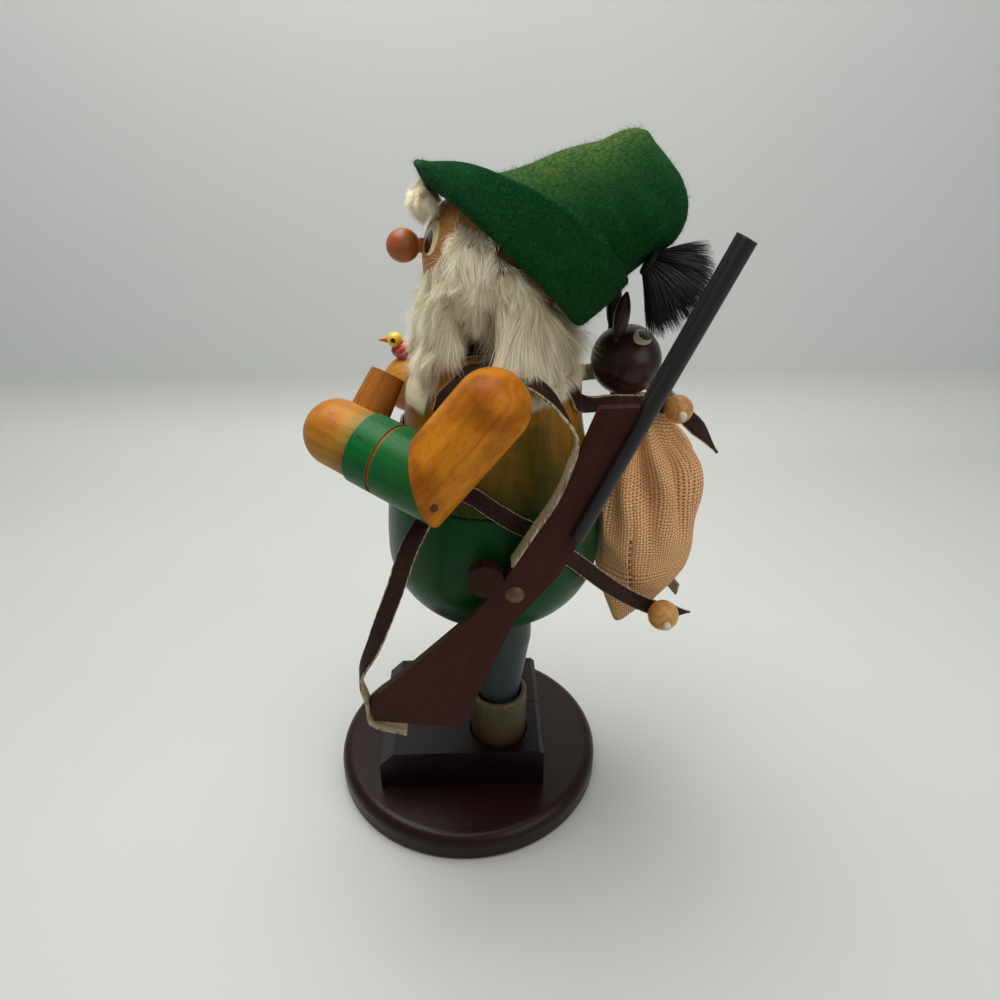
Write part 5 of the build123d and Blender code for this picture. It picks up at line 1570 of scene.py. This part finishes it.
    def build(self) -> None:
        """Make the three bands."""
        face = Leather("strap_leather", (44, 20, 14), (80, 50, 38)).build()
        edge = Pelt("strap_edge", (104, 86, 66), (196, 180, 148)).build()
        back = Weave("strap_backing", (178, 162, 122), (74, 62, 42), 0.56, 0.45, 0.22).build()
        for name, route, pointed in (
            ("sling", self.sling_route(), False),
            ("sack_strap_lower", self.lower_route(), True),
            ("sack_strap_upper", self.upper_route(), True),
        ):
            band = self.band(route, pointed)
            thing = band.to_object(f"{name}_band", [face, edge, back], "strap", True)
            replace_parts(thing, name)


@dataclass
class Rifle:
    """Stock, barrels, guard and pin."""

    stock: Wood = Wood("stock_wood", ((0, (60, 27, 18)),), RIFLE_WAY, contrast=0.26, rough=0.55, coat=0.0, pores=0.3,
                       shine=0.14)
    guard: Wood = Wood("guard_wood", ((0, (48, 22, 16)),), (1, 0, 0), contrast=0.28, rough=0.5, coat=0.0, shine=0.14)
    pin: Wood = Wood("pin_wood", ((0, (98, 70, 44)),), (1, 0, 0), coat=0.3)
    barrel: Paint = Paint("barrel_black", (18, 18, 18), 0.45, 0.05)

    def build(self) -> None:
        """Dress the wood, the stock's along the barrels' line, and blacken the barrels."""
        dress(self.stock, "rifle_stock")
        dress(self.guard, "trigger_guard")
        dress(self.pin, "lock_pin")
        dress(self.barrel, "barrel_left", "barrel_right")


@dataclass
class Sack:
    """Burlap sack with its gathered neck, the hare in it and the two beads."""

    sections: Table = (
        (-52.0, 48.5, 7.5, 8.5), (-42.0, 49.0, 12.5, 12.0), (-24.0, 47.8, 18.0, 17.0), (-7.0, 47.2, 19.0, 17.5),
        (6.0, 46.8, 16.4, 15.5), (17.0, 45.0, 9.5, 10.5), (24.0, 42.5, 7.0, 7.5))
    body_gap: float = 1.7
    thread_pitch: float = 1.0
    columns: int = 240
    rows: int = 120
    seam_turn: float = 343.0
    pleats: Table = (
        (-8, 8, 0.36), (24, 6, 0.2), (48, 7, 0.24), (80, 8, 0.2), (-45, 8, 0.24), (120, 7, 0.2), (160, 8, 0.24),
        (205, 7, 0.2))
    pleat_twist: float = 10.0
    pleat_start: Pair = (-22.0, -2.0)
    pleat_end: Pair = (26.0, 20.0)
    gathers: Table = ((9, 0.6, 1.0), (14, 2.0, 0.7), (23, 4.0, 0.5))
    gather_depth: float = 0.17
    neck_rise: Pair = (-20.0, 20.0)
    foot_rise: Pair = (-30.0, -52.0)
    foot_square: float = 1.6
    corner_turn: float = -35.0
    corner_half: float = 0.4
    corner_reach: Triple = (3.0, -2.0, -1.5)
    hem_slope: float = 0.5
    seam_depth: float = 0.035
    seam_half: float = 0.035
    seam_rows: tuple[int, int] = (8, 62)
    stitch_pitch: int = 4
    stitch_length: float = 2.6

    def cloth(self) -> Surface:
        """Rings between the sections, squared at the foot and gathered at the neck.

        Each ring is an oval whose radius is raised by a few sines of the turn, which grow towards the neck, and lowered
        by bells at the pleats and at the seam. At the foot the oval's power grows, the hem climbs backwards and one
        corner is drawn out. Slow swells stand for the stuffing. Points are then pushed out of the turned body.
        """
        table = np.array(self.sections)
        levels = np.linspace(table[0, 0], table[-1, 0], self.rows)
        back, deep, wide = smooth_between(levels, table[:, 0], table[:, 1:]).T[:, :, None]
        turn, rise = full_turn(self.columns)[None, :], levels[:, None]
        neck, foot = rising(rise, *self.neck_rise), rising(rise, *self.foot_rise)
        gathers = np.array(self.gathers)
        folds = sum(share * np.sin(count * turn + phase) for count, phase, share in gathers) / gathers[:, 2].sum()
        swell = 1 + self.gather_depth * neck ** 1.6 * folds + 0.02 * (1 - neck) * np.sin(5 * turn + rise / 9)
        upper = rising(rise, *self.pleat_start) * rising(rise, *self.pleat_end)
        for middle, width, depth in self.pleats:
            away = turned_from(turn, np.radians(middle + self.pleat_twist * (1 - neck)))
            swell = swell - depth * upper * bell(away, math.radians(width))
        power = 2 + self.foot_square * foot
        square = (np.abs(np.cos(turn)) ** power + np.abs(np.sin(turn)) ** power) ** (-1 / power)
        seam = bell(turned_from(turn, math.radians(self.seam_turn)), self.seam_half)
        reach = swell * square - self.seam_depth * seam * (1 - 0.6 * neck)
        side, behind = wide * reach * np.cos(turn), back + deep * reach * np.sin(turn)
        height = rise + foot * self.hem_slope * np.clip(behind - table[0, 1] + table[0, 2], 0, None)
        points = np.stack([side, BODY_Y + behind, WAIST_Z + height], -1)
        corner = foot ** 2 * bell(turned_from(turn, math.radians(self.corner_turn)), self.corner_half)
        points = points + corner[..., None] * np.array(self.corner_reach) + ripple(points, 11.0, 41) * 0.55
        off = points[..., :2] - np.array([0.0, BODY_Y])
        gone = np.linalg.norm(off, axis=-1, keepdims=True)
        room = body_radius(points[..., 2])[..., None] + self.body_gap
        points[..., :2] = np.array([0.0, BODY_Y]) + off * np.maximum(1, room / np.maximum(gone, 1e-6))
        girth = np.linspace(0, 2 * np.pi * table[:, 2].max(), self.columns + 1)
        drop = lengths_along(points[:, self.columns // 4])
        uv = np.stack(np.broadcast_arrays(girth[None, :], drop[:, None]), -1)
        return Surface.grid(points, True, (True, True), uv)

    def seam(self, cloth: Surface) -> Surface:
        """Stitches low on the seam: short strips that arch over the sack's column there.

        Args:
            cloth: The sack's surface.

        Returns:
            One strip a stitch.
        """
        grid = cloth.points[:self.rows * self.columns].reshape(self.rows, self.columns, 3)
        grid = grid[slice(*self.seam_rows)]
        line = grid[:, int(self.seam_turn / 360 * self.columns)]
        out = unit(line - grid.mean(axis=1))
        rows = np.arange(0, 48, self.stitch_pitch)
        share = np.linspace(0, 1, 5)
        index = rows[:, None] + share[None, :] * self.stitch_length
        low = np.floor(index).astype(int)
        blend = (index - low)[..., None]
        paths = line[low] * (1 - blend) + line[low + 1] * blend
        arch = np.sin(share * np.pi)[None, :, None] * 0.35 + 0.1
        paths = paths + out[low] * arch
        rng = np.random.default_rng(51)
        widths = np.full(paths.shape[:2], 0.5)
        return Surface.strips(paths, strand_sides(paths, out[rows], rng, 0.05), widths, rng.random(len(rows)))

    def build(self) -> None:
        """Make the sack and its seam, and dress the hare and the beads."""
        burlap = Weave("burlap", (246, 188, 130), (84, 44, 20), self.thread_pitch, 0.48, 0.34).build()
        cloth = self.cloth()
        bag = cloth.to_object("sack_cloth", [burlap], "burlap", True)
        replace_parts(bag, "sack")
        red = Hair("seam_thread", (104, 44, 34), (120, 52, 40), 0.3, 0.7).build()
        self.seam(cloth).to_object("sack_seam", [red], "thread")
        hare = Wood("hare_stain", ((0, (44, 22, 20)),), contrast=0.3, rough=0.34, coat=0.15, shine=0.25)
        dress(hare, "hare_head", "hare_ear_left", "hare_ear_right")
        paint_pair("hare_eye", Paint("hare_eye_cream", (186, 174, 138), 0.4, 0.2), "hare_brown", HARE_CENTRE,
                   HARE_RADIUS, 127, 56, (3.5, 2.7), 0.1, 20)
        paint_pair("hare_pupil", Paint("hare_eye_brown", (56, 34, 30), 0.35, 0.3), "hare_brown", HARE_CENTRE,
                   HARE_RADIUS + 0.1, 137, 57, (2.3, 2.0), 0.08)
        bead = Wood("bead_wood", ((0, (206, 146, 76)),), (1, 0, 0), contrast=0.3, rough=0.3, coat=0.4)
        dress(bead, "bead_lower", "bead_upper")
        dress(Paint("thread_pale", (222, 208, 178), 0.8), "bead_thread_lower", "bead_thread_upper")


def main() -> None:
    """Build the stage and dress each sub-assembly."""
    logging.basicConfig(level=logging.INFO, format="%(name)s: %(message)s")
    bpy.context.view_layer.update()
    for part in (Stage(), Stand(), SmokeBody(), Arms(), Head(), Hat(), Fur(), Straps(), Rifle(), Sack()):
        LOG.info("building %s", type(part).__name__)
        part.build()


if __name__ == "__main__":
    main()
